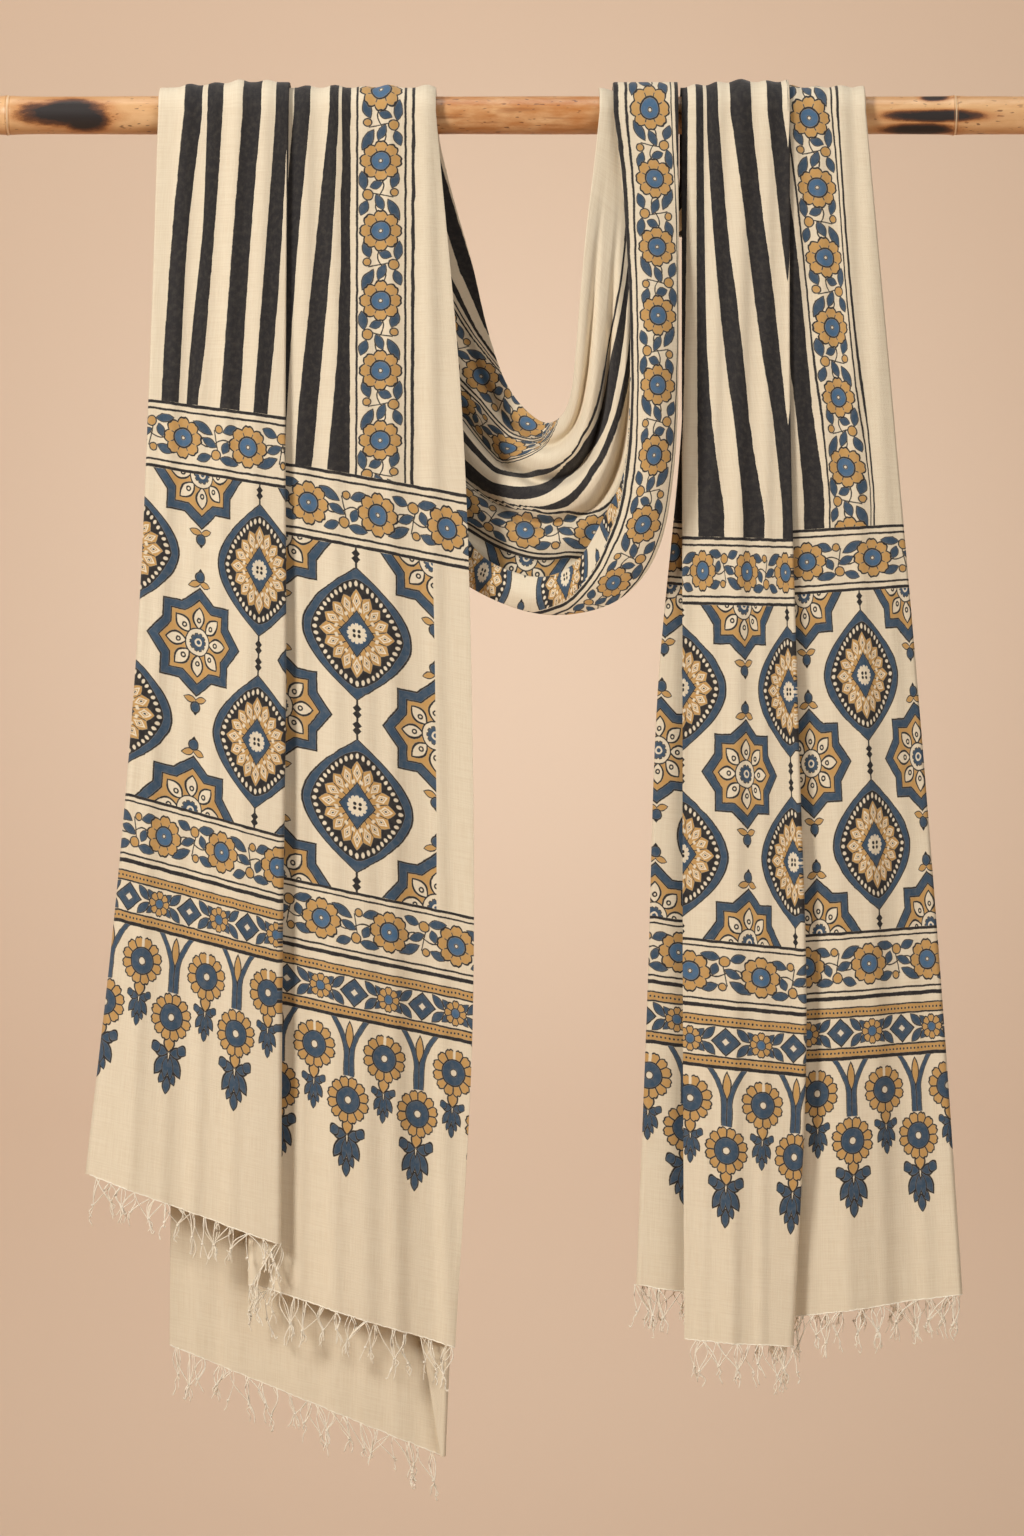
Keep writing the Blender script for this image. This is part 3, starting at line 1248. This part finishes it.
def new_colour(tree, colour):
    """A colour to paint on, as a Mix node that stays at its first colour."""
    node = tree.nodes.new("ShaderNodeMix")
    node.data_type = "RGBA"
    node.inputs[0].default_value = 0.0
    node.inputs[6].default_value = (*colour, 1.0)
    return Value(tree, node.outputs[2])


hand_print = hand_print_group()
dyed_cotton = dyed_cotton_group()


EDGE_LINES = ((58.6, 1.8), (65.8, 1.1), (112.3, 1.1))
UPPER_LINES = ((32.4, 1.6), (25.6, 1.1))
LOWER_LINES = ((1.4, 1.5), (7.0, 0.9), (59.0, 1.0), (65.5, 2.0))
LOWER_FLOWERS = 33.0
LOWER_FLOWER_STEP = 75.0
CHAIN_MIDDLE = 99.8
DROPS_TOP = 127.0


def print_lines(ink, place, lines):
    """Black lines, each given by its place and half its width."""
    black = None
    for middle, half in lines:
        one = place.near(middle, half)
        black = one if black is None else black.most(one)
    return paint(ink, INK_BLACK, black)


def print_body(ink, u, v, phase):
    """Stripes, with a band of flowers and a plain edge along each side."""
    u = u.size()
    u = u.least(CLOTH_SPAN - u)
    stripe = (u - STRIPE_START).math("MULTIPLY", 0.5 / STRIPE).math("FRACT") * (2 * STRIPE)
    stripes = stripe.below(STRIPE) * u.above(STRIPE_START)
    ink = paint(ink, INK_BLACK, stripes)
    ink = print_lines(ink, u, EDGE_LINES)
    return use_group(ink.tree, flower_band, u - BAND_MIDDLE, v - phase, ink)


def print_upper(ink, u, v, phase):
    """The upper cross border: two double lines with flowers between."""
    from_middle = (v - BORDER_HEIGHT / 2).size()
    ink = use_group(ink.tree, flower_band, v - BORDER_HEIGHT / 2, u - phase, ink)
    return print_lines(ink, from_middle, UPPER_LINES)


def print_lower(ink, u, v, phase):
    """The lower border: lines, flowers, the chain between dotted strips, and the drops."""
    along = (u - phase) * (FLOWER_STEP / LOWER_FLOWER_STEP)
    ink = use_group(ink.tree, flower_band, v - LOWER_FLOWERS, along, ink)
    ink = use_group(ink.tree, chain, v - CHAIN_MIDDLE, u, ink)
    ink = paint(ink, INK_NONE, v.near(72.0, 5.0))
    ink = print_lines(ink, v, LOWER_LINES)
    strip = (v - CHAIN_MIDDLE).size() - 20.0
    ink = paint(ink, INK_BLACK, strip.size().below(5.2))
    dots = distance(strip, u.repeat(4.4)).below(1.15)
    ink = paint(ink, INK_OCHRE, strip.size().below(3.7) * (1.0 - dots))
    ink = paint(ink, INK_BLACK, v.near(125.8, 1.3))
    hung = use_group(ink.tree, drops, v - DROPS_TOP, u, ink)
    return paint(ink, hung, v.above(DROPS_TOP))


def print_field(ink, u, v, phase):
    """The field of medallions and stars."""
    return use_group(ink.tree, medallions, u, v - phase, ink)


REAR_STRIPES = (
    # u where a black line or stripe starts and ends
    (10, 24), (40, 48), (54, 57), (61, 64), (106, 109), (113, 116), (156, 159), (163, 166),
    (200, 212), (232, 254), (272, 284), (296, 299), (342, 345), (349, 354),
)
REAR_BANDS = (85.0, 136.0, 320.5)
REAR_BAND_HALF = 20.5
REAR_FIELD = 354.0
FIELD_SIDE = 56.0
FLAP_STAR = -402.0        # how far down the flap its stars begin


def print_rear(ink, u, v, phase):
    """The swag's back layers: its bands of flowers, stripes and the field's top."""
    ink = print_lines(ink, u, [((start + end) / 2, (end - start) / 2)
                               for start, end in REAR_STRIPES])
    offset = u - REAR_BANDS[0]
    for middle in REAR_BANDS[1:]:
        other = u - middle
        closer = other.size().below(REAR_BAND_HALF, 0.01)
        offset = offset * (1.0 - closer) + other * closer
    band = offset.size().below(REAR_BAND_HALF)
    flowers = use_group(ink.tree, flower_band, offset, v - phase, ink)
    ink = paint(ink, flowers, band)
    field = use_group(ink.tree, medallions, v + COLUMN, u - REAR_FIELD, ink)
    return paint(ink, field, u.above(REAR_FIELD))


def print_roll(ink, u, v, phase):
    """The swag's rolled front edge: flowers and lines on one side, the field on the other."""
    ink = print_lines(ink, u, EDGE_LINES)
    ink = paint(ink, INK_BLACK, u.above(STRIPE_START))
    ink = use_group(ink.tree, flower_band, u - BAND_MIDDLE, v - phase, ink)
    star = v.above(FLAP_STAR)
    along = (v + 445.0) * 1.5 * (1.0 - star) + ((v + 375.0) * 1.3 + COLUMN) * star
    field = use_group(ink.tree, medallions, along, u + 51.0 - star * 86.0, ink)
    return paint(ink, field, u.below(FIELD_SIDE))


def cotton_material(name, draw, phase, edge=None):
    """A cotton finish whose print is drawn by one of the functions above."""
    material = bpy.data.materials.new(name)
    material.use_nodes = True
    tree = material.node_tree
    shader = tree.nodes["Principled BSDF"]
    places = tree.nodes.new("ShaderNodeUVMap")
    places.uv_map = "print"
    split = tree.nodes.new("ShaderNodeSeparateXYZ")
    tree.links.new(places.outputs[0], split.inputs[0])
    flat_u, flat_v = Value(tree, split.outputs[0]), Value(tree, split.outputs[1])
    wobble = tree.nodes.new("ShaderNodeGroup")
    wobble.node_tree = hand_print
    tree.links.new(flat_u.socket, wobble.inputs[0])
    tree.links.new(flat_v.socket, wobble.inputs[1])
    u, v = Value(tree, wobble.outputs[0]), Value(tree, wobble.outputs[1])
    ink = draw(new_colour(tree, INK_NONE), u, v, phase)
    if edge is not None:
        ink = paint(ink, INK_NONE, flat_u.below(edge))
    cloth_node = tree.nodes.new("ShaderNodeGroup")
    cloth_node.node_tree = dyed_cotton
    for value, socket in zip((flat_u, flat_v, ink), cloth_node.inputs):
        tree.links.new(value.socket, socket)
    relief = tree.nodes.new("ShaderNodeBump")
    relief.inputs["Strength"].default_value = 0.5
    relief.inputs["Distance"].default_value = 0.0006
    tree.links.new(cloth_node.outputs["Height"], relief.inputs["Height"])
    tree.links.new(cloth_node.outputs["Color"], shader.inputs["Base Color"])
    tree.links.new(cloth_node.outputs["Rough"], shader.inputs["Roughness"])
    tree.links.new(relief.outputs[0], shader.inputs["Normal"])
    shader.inputs["Sheen Weight"].default_value = 0.15
    shader.inputs["Sheen Roughness"].default_value = 0.5
    shader.inputs["Specular IOR Level"].default_value = 0.25
    return material


PRINTS = {
    # name of the zone: how it is drawn, where its flowers start, and its plain edge's end
    "left_body": (print_body, -20.0, None),
    "right_body": (print_body, 7.0, None),
    "upper": (print_upper, 0.0, None),
    "field": (print_field, 0.0, COLUMN),
    "lower": (print_lower, 0.0, None),
    "rear": (print_rear, 0.0, None),
    "roll": (print_roll, 0.0, None),
}
print_materials = [cotton_material(f"cotton_{name}", *facts) for name, facts in PRINTS.items()]

columns = fine_columns()
blocks = cloth_blocks(columns)
cloth = add_piece("cotton_cloth", sheet_mesh("cotton_cloth", blocks, list(PRINTS)),
                  print_materials, "printed_cotton", "cloth")
wall = cloth.modifiers.new("thickness", "SOLIDIFY")
wall.thickness = SHEET_THICKNESS * MM
wall.offset = 0.0
cloth.modifiers.new("even_shading", "WEIGHTED_NORMAL")


# The fringes at the hems, thread by thread.

TUFT_STEP = 10.5
THREAD_RADIUS = 0.37
THREAD_SIDES = 4
THREAD_LONGEST = 37.0
HEM_ROLL_RADIUS = 0.55
HEM_ROLL_STEP = 2.2
KNOT_DEPTHS = (12.0, 22.0)
FURTHEST_KNOT = (16.0, 5.0)   # across and out from the thread's root


def smooth_path(points, parts):
    """Points along a soft curve through a few places."""
    points = [Vector(p) for p in points]
    ends = [points[0] * 2 - points[1]] + points + [points[-1] * 2 - points[-2]]
    path = []
    for n in range(len(points) - 1):
        a, b, c, d = ends[n:n + 4]
        for step in range(parts):
            t = step / parts
            path.append(0.5 * ((2 * b) + (c - a) * t + (2 * a - 5 * b + 4 * c - d) * t * t
                               + (3 * b - a - 3 * c + d) * t * t * t))
    return path + [points[-1]]


def add_thread(mesh, path, radius, sides=THREAD_SIDES):
    """Sweep a small ring of points along a path, closed at both ends."""
    rings = []
    for n, place in enumerate(path):
        ahead = path[min(n + 1, len(path) - 1)] - path[max(n - 1, 0)]
        turn = ahead.to_track_quat("Z", "Y")
        thick = radius * (1.0 if 0 < n < len(path) - 1 else 0.6)
        ring = []
        for side in range(sides):
            angle = 2 * math.pi * side / sides
            offset = Vector((math.cos(angle) * thick, math.sin(angle) * thick, 0.0))
            ring.append(mesh.verts.new((place + turn @ offset) * MM))
        rings.append(ring)
    for first, second in zip(rings, rings[1:]):
        for side in range(sides):
            after = (side + 1) % sides
            mesh.faces.new((first[side], first[after], second[after], second[side]))
    mesh.faces.new(rings[0][::-1])
    mesh.faces.new(rings[-1])


def hem_points(hem, step, jitter, dice):
    """Places along a hem, about a step apart."""
    lengths = np.linalg.norm(np.diff(hem, axis=0), axis=1)
    along = np.concatenate([[0.0], np.cumsum(lengths)])
    count = int(along[-1] / step)
    places = [(n + 0.5 + dice.uniform(-jitter, jitter)) * along[-1] / count for n in range(count)]
    return [Vector([np.interp(place, along, hem[:, axis]) for axis in range(3)])
            for place in places]


def fringe_mesh(name, hem, seed):
    """Loose warp threads that cross, knot and fray below a hem."""
    dice = random.Random(seed)
    mesh = bmesh.new()
    roll = hem_points(hem, HEM_ROLL_STEP, 0.2, dice)
    roll = [Vector(hem[0])] + roll + [Vector(hem[-1])]
    roll = [p + Vector((0.0, dice.uniform(-0.15, 0.15), dice.uniform(-0.35, 0.25)))
            for p in roll]
    add_thread(mesh, roll, HEM_ROLL_RADIUS, 6)
    roots = hem_points(hem, TUFT_STEP, 0.28, dice)
    knots = []
    for root in roots:
        deep = dice.uniform(*KNOT_DEPTHS)
        knots.append(root + Vector((dice.uniform(-4.0, 4.0), dice.uniform(-1.2, 0.8), -deep)))
    for number, root in enumerate(roots):
        for strand in range(dice.choice((3, 4, 4, 5))):
            near = min(max(number + dice.choice((-1, 0, 0, 0, 1)), 0), len(knots) - 1)
            apart = knots[near] - root
            if abs(apart.x) > FURTHEST_KNOT[0] or abs(apart.y) > FURTHEST_KNOT[1]:
                near = number
            start = root + Vector((dice.uniform(-2.2, 2.2), dice.uniform(-0.2, 0.2), 0.2))
            knot = knots[near] + Vector((dice.uniform(-0.6, 0.6), dice.uniform(-0.5, 0.5),
                                         dice.uniform(-1.0, 1.0)))
            sway = dice.uniform(-4.0, 4.0)
            bow = start.lerp(knot, 0.45) + Vector((sway, dice.uniform(-1.0, 0.6), 0.0))
            path = [start, bow, knot]
            end = knot
            for step in range(dice.choice((1, 2, 2, 3))):
                end = end + Vector((dice.uniform(-2.6, 2.6), dice.uniform(-0.9, 0.7),
                                    -dice.uniform(2.6, 6.0)))
                path.append(end)
            if dice.random() < 0.3:
                path.append(end + Vector((dice.uniform(-2.0, 2.0), 0.4, dice.uniform(0.5, 2.0))))
            for place in path:
                place.z = max(place.z, root.z - THREAD_LONGEST)
            add_thread(mesh, smooth_path(path, 4), THREAD_RADIUS * dice.uniform(0.75, 1.15))
        knot = knots[number]
        loop = [knot + Vector((1.0 * math.cos(a), 0.8 * math.sin(a), -0.7 * math.sin(2 * a)))
                for a in (0.0, 1.3, 2.6, 3.9, 5.2, 6.3)]
        add_thread(mesh, loop, THREAD_RADIUS * 1.3)
    bmesh.ops.recalc_face_normals(mesh, faces=mesh.faces)
    result = bpy.data.meshes.new(name)
    mesh.to_mesh(result)
    mesh.free()
    for face in result.polygons:
        face.use_smooth = True
    return result


def thread_material():
    """Undyed cotton thread: pale, with a twist and slight changes from thread to thread."""
    material = bpy.data.materials.new("cotton_thread")
    material.use_nodes = True
    tree = material.node_tree
    shader = tree.nodes["Principled BSDF"]
    coords = tree.nodes.new("ShaderNodeTexCoord")
    place = coords.outputs["Object"]
    patch = noise_at(tree, place, 90.0, 2.0)
    twist = noise_at(tree, place, 1800.0, 1.0)
    colour = paint(new_colour(tree, (0.96, 0.90, 0.78)), (0.88, 0.79, 0.62), patch)
    tree.links.new(colour.socket, shader.inputs["Base Color"])
    tree.links.new((patch * 0.15 + 0.75).socket, shader.inputs["Roughness"])
    relief = tree.nodes.new("ShaderNodeBump")
    relief.inputs["Strength"].default_value = 0.4
    relief.inputs["Distance"].default_value = 0.0002
    tree.links.new(twist.socket, relief.inputs["Height"])
    tree.links.new(relief.outputs[0], shader.inputs["Normal"])
    shader.inputs["Sheen Weight"].default_value = 0.2
    return material


def hem_part(columns, hem, first_run, last_run):
    """A hem's points from the start of one run to the end of another."""
    inside = [n for n, (kind, run, value) in enumerate(columns)
              if first_run <= run <= last_run and (kind == "run" or run < last_run)]
    return hem[inside[0]:inside[-1] + 1]


left_hem, right_hem = blocks[0][0][0], blocks[-1][0][-1]
thread = thread_material()
for number, (name, hem, first_run, last_run) in enumerate((
        ("fringe_left_front", left_hem, 0, 2), ("fringe_left_back", left_hem, 4, 4),
        ("fringe_right", right_hem, 0, 4))):
    part = hem_part(columns, hem, first_run, last_run)
    add_piece("threads_" + name, fringe_mesh("threads_" + name, part, number + 3),
                             [thread], "fringe_thread", name)


# The bamboo rod, spun about its axis.

ROD_SIDES = 56
ROD_NODE_RING = (
    # place along the rod from a node, rise of the skin
    (-9.0, 0.0), (-5.0, 0.12), (-2.2, 0.42), (-1.1, 0.75), (-0.3, 0.8), (0.4, 0.30),
    (1.0, 0.18), (1.8, 0.38), (3.2, 0.30), (6.0, 0.08), (9.0, 0.0),
)
SCORCH_MARKS = (
    # middle, half lengths along x, y and z, roughness of the edge
    ((-316.0, -11.0, 1.0), (30.0, 12.0, 9.5), 0.55),
    ((-302.0, -10.0, -5.0), (16.0, 12.0, 8.0), 0.4),
    ((300.0, -13.0, -2.2), (36.0, 9.0, 4.0), 0.35),
    ((288.0, -7.0, -11.5), (26.0, 8.0, 4.5), 0.35),
    ((300.0, -6.0, 11.5), (10.0, 6.0, 4.0), 0.5),
    ((-20.0, 12.0, 2.0), (34.0, 9.0, 7.0), 0.5),
    ((140.0, 12.0, -3.0), (30.0, 9.0, 6.0), 0.5),
)
BAMBOO_PALE = (0.80, 0.50, 0.255)
BAMBOO_TAN = (0.66, 0.365, 0.155)
BAMBOO_WARM = (0.50, 0.185, 0.045)
BAMBOO_STREAK = (0.24, 0.075, 0.02)
BAMBOO_DARK = (0.115, 0.033, 0.010)
BAMBOO_CHAR = (0.016, 0.010, 0.009)
NODE_PALE = (0.86, 0.62, 0.38)
NODE_DARK = (0.30, 0.12, 0.04)
CUT_PALE = (0.62, 0.42, 0.22)
CUT_DARK = (0.28, 0.14, 0.06)
PITH_DARK = (0.10, 0.05, 0.025)


def bamboo_outline():
    """x and radius in mm along the rod: rings at the nodes, slimmer stretches between."""
    half, radius = ROD_LENGTH / 2, ROD_DIAMETER / 2
    places = {-half: -ROD_CHAMFER, -half + ROD_CHAMFER: 0.0,
              half - ROD_CHAMFER: 0.0, half: -ROD_CHAMFER}
    for node in NODE_XS:
        places.update({node + x: rise for x, rise in ROD_NODE_RING})
    for x in np.arange(-half + 6.0, half - 5.0, 8.0):
        if min(abs(x - node) for node in NODE_XS) > 10.0:
            places[float(x)] = -0.12 + 0.1 * math.sin(x / 23.0)
    return [(x, radius + places[x]) for x in sorted(places)]


def bamboo_mesh():
    """Spin the outline about the rod's axis and cut shallow pith hollows in its ends."""
    outline = bamboo_outline()
    half = ROD_LENGTH / 2
    rod = bmesh.new()
    pith = [(-half, 3.5), (-half + 3.0, 3.0), (-half + 3.0, 0.0)]
    line = [(x, r) for x, r in pith[::-1]] + outline + [(-x, r) for x, r in pith]
    verts = [rod.verts.new((x * MM, 0.0, r * MM)) for x, r in line]
    edges = [rod.edges.new(pair) for pair in zip(verts, verts[1:])]
    bmesh.ops.spin(rod, geom=verts + edges, cent=(0.0, 0.0, 0.0), axis=(1.0, 0.0, 0.0),
                   angle=2 * math.pi, steps=ROD_SIDES, use_merge=True)
    bmesh.ops.remove_doubles(rod, verts=rod.verts, dist=1e-6)
    bmesh.ops.recalc_face_normals(rod, faces=rod.faces)
    mesh = bpy.data.meshes.new("bamboo_rod")
    rod.to_mesh(mesh)
    rod.free()
    for face in mesh.polygons:
        face.use_smooth = abs(face.normal.x) < 0.9
    return mesh


def bamboo_material():
    """Pale bamboo skin: fine grain, flecks, warm brown in the middle, scorched patches."""
    material = bpy.data.materials.new("bamboo_skin")
    material.use_nodes = True
    tree = material.node_tree
    shader = tree.nodes["Principled BSDF"]
    coords = tree.nodes.new("ShaderNodeTexCoord")
    millimetres = tree.nodes.new("ShaderNodeMapping")
    millimetres.inputs["Scale"].default_value = (1000.0, 1000.0, 1000.0)
    tree.links.new(coords.outputs["Object"], millimetres.inputs["Vector"])
    place = millimetres.outputs[0]
    split = tree.nodes.new("ShaderNodeSeparateXYZ")
    tree.links.new(place, split.inputs[0])
    x, y, z = (Value(tree, split.outputs[n]) for n in range(3))

    def stretched(scale, detail, along, roughness=0.5):
        mapping = tree.nodes.new("ShaderNodeMapping")
        mapping.inputs["Scale"].default_value = (along, 1.0, 1.0)
        tree.links.new(place, mapping.inputs["Vector"])
        return noise_at(tree, mapping.outputs[0], scale, detail, None, roughness)

    grain = stretched(0.9, 3.0, 0.03, 0.6)
    streak = stretched(0.25, 3.0, 0.12)
    mottle = stretched(0.10, 4.0, 0.35, 0.62)
    fleck = stretched(0.55, 1.0, 0.30)
    fine = stretched(2.2, 1.0, 0.6)
    colour = new_colour(tree, BAMBOO_PALE)
    colour = paint(colour, BAMBOO_TAN, mottle.math("MULTIPLY_ADD", 2.6, -0.85, clamp=True))
    toasted = streak.math("MULTIPLY_ADD", 3.0, -1.55, clamp=True)
    colour = paint(colour, BAMBOO_WARM, toasted * 0.6)
    rim = z.size().math("MULTIPLY_ADD", 0.16, -1.4, clamp=True)
    colour = paint(colour, BAMBOO_WARM, rim * 0.55)
    middle = (x - 2.0).size().below(78.0, 60.0)
    toasted = mottle.math("MULTIPLY_ADD", 2.4, -0.55, clamp=True)
    colour = paint(colour, BAMBOO_WARM, middle * toasted)
    toasted = streak.math("MULTIPLY_ADD", 3.6, -2.0, clamp=True)
    colour = paint(colour, BAMBOO_STREAK, middle * toasted * 0.8)
    colour = paint(colour, BAMBOO_TAN, grain.math("MULTIPLY_ADD", 2.6, -1.2, clamp=True) * 0.4)
    colour = paint(colour, BAMBOO_DARK, fleck.above(0.70, 0.06) * 0.75)

    scorched = None
    for centre, reach, rough in SCORCH_MARKS:
        shares = [(value - at) * (1 / half) for value, at, half in zip((x, y, z), centre, reach)]
        apart = shares[0] * shares[0] + shares[1] * shares[1] + shares[2] * shares[2]
        one = apart.math("SQRT") + (mottle - 0.5) * (rough * 2.4) + (fine - 0.5) * 0.2
        scorched = one if scorched is None else scorched.least(one)
    colour = paint(colour, BAMBOO_WARM, scorched.below(1.28, 0.5) * 0.85)
    colour = paint(colour, BAMBOO_DARK, scorched.below(1.04, 0.3) * 0.92)
    colour = paint(colour, BAMBOO_CHAR, scorched.below(0.82, 0.36))

    ring = None
    for node in NODE_XS:
        one = (x - node).size()
        ring = one if ring is None else ring.least(one)
    colour = paint(colour, NODE_PALE, ring.below(0.55, 0.3) * 0.85)
    colour = paint(colour, NODE_DARK, ring.near(1.35, 0.25, 0.4) * 0.6)
    cut = x.size().above(ROD_LENGTH / 2 - 0.3, 0.2)
    radial = distance(y, z)
    fibre = noise_at(tree, place, 1.8, 2.0)
    end_colour = paint(new_colour(tree, CUT_PALE), CUT_DARK,
                       fibre.math("MULTIPLY_ADD", 2.4, -0.9, clamp=True))
    end_colour = paint(end_colour, PITH_DARK, radial.below(3.6, 0.5))
    colour = paint(colour, end_colour, cut)
    tree.links.new(colour.socket, shader.inputs["Base Color"])
    rough = grain * 0.18 + 0.34 + scorched.below(0.95, 0.3) * 0.18
    tree.links.new(rough.socket, shader.inputs["Roughness"])
    relief = tree.nodes.new("ShaderNodeBump")
    relief.inputs["Strength"].default_value = 0.35
    relief.inputs["Distance"].default_value = 0.0006
    height = grain * 0.5 + fine * 0.15 - fleck.above(0.70, 0.06) * 0.3
    tree.links.new(height.socket, relief.inputs["Height"])
    tree.links.new(relief.outputs[0], shader.inputs["Normal"])
    shader.inputs["Coat Weight"].default_value = 0.12
    shader.inputs["Coat Roughness"].default_value = 0.25
    return material


add_piece("bamboo_rod", bamboo_mesh(), [bamboo_material()], "bamboo", "rod")


# The room, the camera and the lights.

def add_light(name, place, target, size, power, colour):
    """A round soft light that faces its target."""
    lamp = bpy.data.lights.new(name, "AREA")
    lamp.shape = "DISK"
    lamp.size, lamp.energy, lamp.color = size, power, colour
    holder = bpy.data.objects.new(name, lamp)
    holder.location = place
    holder.rotation_euler = (Vector(target) - Vector(place)).to_track_quat("-Z", "Y").to_euler()
    bpy.context.scene.collection.objects.link(holder)
    return holder


ROOM_COLOUR = (0.66, 0.47, 0.33, 1.0)
STAGE_COLOUR = (0.66, 0.48, 0.345, 1.0)
STAGE_WIDTH = 10.0
FLOOR_FRONT = -2.3
FLOOR_HEIGHT = -1.35
BACKDROP_Y = 1.6
BACKDROP_TOP = 3.0
COVE_RADIUS = 0.5


def stage_material():
    """Matt and pale on the side of the cloth, and clear from behind and below."""
    material = bpy.data.materials.new("pale_stage")
    material.use_nodes = True
    shader = material.node_tree.nodes["Principled BSDF"]
    shader.inputs["Base Color"].default_value = STAGE_COLOUR
    shader.inputs["Roughness"].default_value = 0.95
    shader.inputs["Specular IOR Level"].default_value = 0.1
    nodes, links = material.node_tree.nodes, material.node_tree.links
    facing = nodes.new("ShaderNodeNewGeometry")
    clear = nodes.new("ShaderNodeBsdfTransparent")
    either = nodes.new("ShaderNodeMixShader")
    links.new(facing.outputs["Backfacing"], either.inputs[0])
    links.new(shader.outputs["BSDF"], either.inputs[1])
    links.new(clear.outputs["BSDF"], either.inputs[2])
    links.new(either.outputs["Shader"], nodes["Material Output"].inputs["Surface"])
    return material


def build_room():
    """A pale surround that the camera sees past the stage's edges and that gives no light."""
    world = bpy.data.worlds.new("pale_room")
    world.use_nodes = True
    nodes, links = world.node_tree.nodes, world.node_tree.links
    nodes.clear()
    ray = nodes.new("ShaderNodeLightPath")
    seen = nodes.new("ShaderNodeBackground")
    seen.inputs["Color"].default_value = ROOM_COLOUR
    output = nodes.new("ShaderNodeOutputWorld")
    links.new(ray.outputs["Is Camera Ray"], seen.inputs["Strength"])
    links.new(seen.outputs["Background"], output.inputs["Surface"])
    bpy.context.scene.world = world


def build_stage():
    """A pale floor that curves up into the backdrop."""
    profile = [(FLOOR_FRONT, FLOOR_HEIGHT)]
    for step in range(0, 91, 10):
        angle = math.radians(step)
        profile.append((BACKDROP_Y - COVE_RADIUS + COVE_RADIUS * math.sin(angle),
                        FLOOR_HEIGHT + COVE_RADIUS - COVE_RADIUS * math.cos(angle)))
    profile.append((BACKDROP_Y, BACKDROP_TOP))
    sweep = bmesh.new()
    verts = [sweep.verts.new((-STAGE_WIDTH / 2, y, z)) for y, z in profile]
    edges = [sweep.edges.new(pair) for pair in zip(verts, verts[1:])]
    made = bmesh.ops.extrude_edge_only(sweep, edges=edges)["geom"]
    bmesh.ops.translate(sweep, verts=[g for g in made if isinstance(g, bmesh.types.BMVert)],
                        vec=(STAGE_WIDTH, 0.0, 0.0))
    bmesh.ops.recalc_face_normals(sweep, faces=sweep.faces)
    highest = max(sweep.faces, key=lambda face: face.calc_center_median().z)
    if highest.normal.y > 0.0:
        bmesh.ops.reverse_faces(sweep, faces=sweep.faces)
    mesh = bpy.data.meshes.new("stage")
    sweep.to_mesh(mesh)
    sweep.free()
    for face in mesh.polygons:
        face.use_smooth = True
    stage = bpy.data.objects.new("stage", mesh)
    mesh.materials.append(stage_material())
    bpy.context.scene.collection.objects.link(stage)


build_stage()
build_room()

PHOTO_CENTRE_Z = -0.4645
CAMERA_DISTANCE = 3.0
CLOTH_FRONT = 0.02        # how far before the rod's axis the photo's scale holds
FRAME_HEIGHT = 1.086
SENSOR_WIDTH = 36.0
camera_data = bpy.data.cameras.new("camera")
camera_data.sensor_width = SENSOR_WIDTH
camera_data.sensor_fit = "AUTO"
camera_data.lens = SENSOR_WIDTH * (CAMERA_DISTANCE - CLOTH_FRONT) / FRAME_HEIGHT
camera = bpy.data.objects.new("camera", camera_data)
camera.location = (0.0, -CAMERA_DISTANCE, PHOTO_CENTRE_Z)
camera.rotation_euler = (math.radians(90.0), 0.0, 0.0)
bpy.context.scene.collection.objects.link(camera)
bpy.context.scene.camera = camera
bpy.context.scene.view_settings.view_transform = "Standard"

add_light("key", (-2.2, -2.1, 1.1), (0.0, 0.0, -0.5), 0.9, 98.0, (1.0, 0.97, 0.93))
add_light("fill", (2.2, -2.8, -0.7), (0.0, 0.0, -0.55), 2.6, 52.0, (1.0, 0.96, 0.92))
glow = add_light("glow", (0.0, 0.75, -0.3), (0.0, 1.6, -0.35), 0.5, 4.6, (0.70, 0.86, 1.0))
glow.visible_camera = False
add_light("wall_wash", (0.0, -0.2, 2.4), (0.0, 1.6, -0.2), 1.8, 30.0, (1.0, 0.97, 0.94))
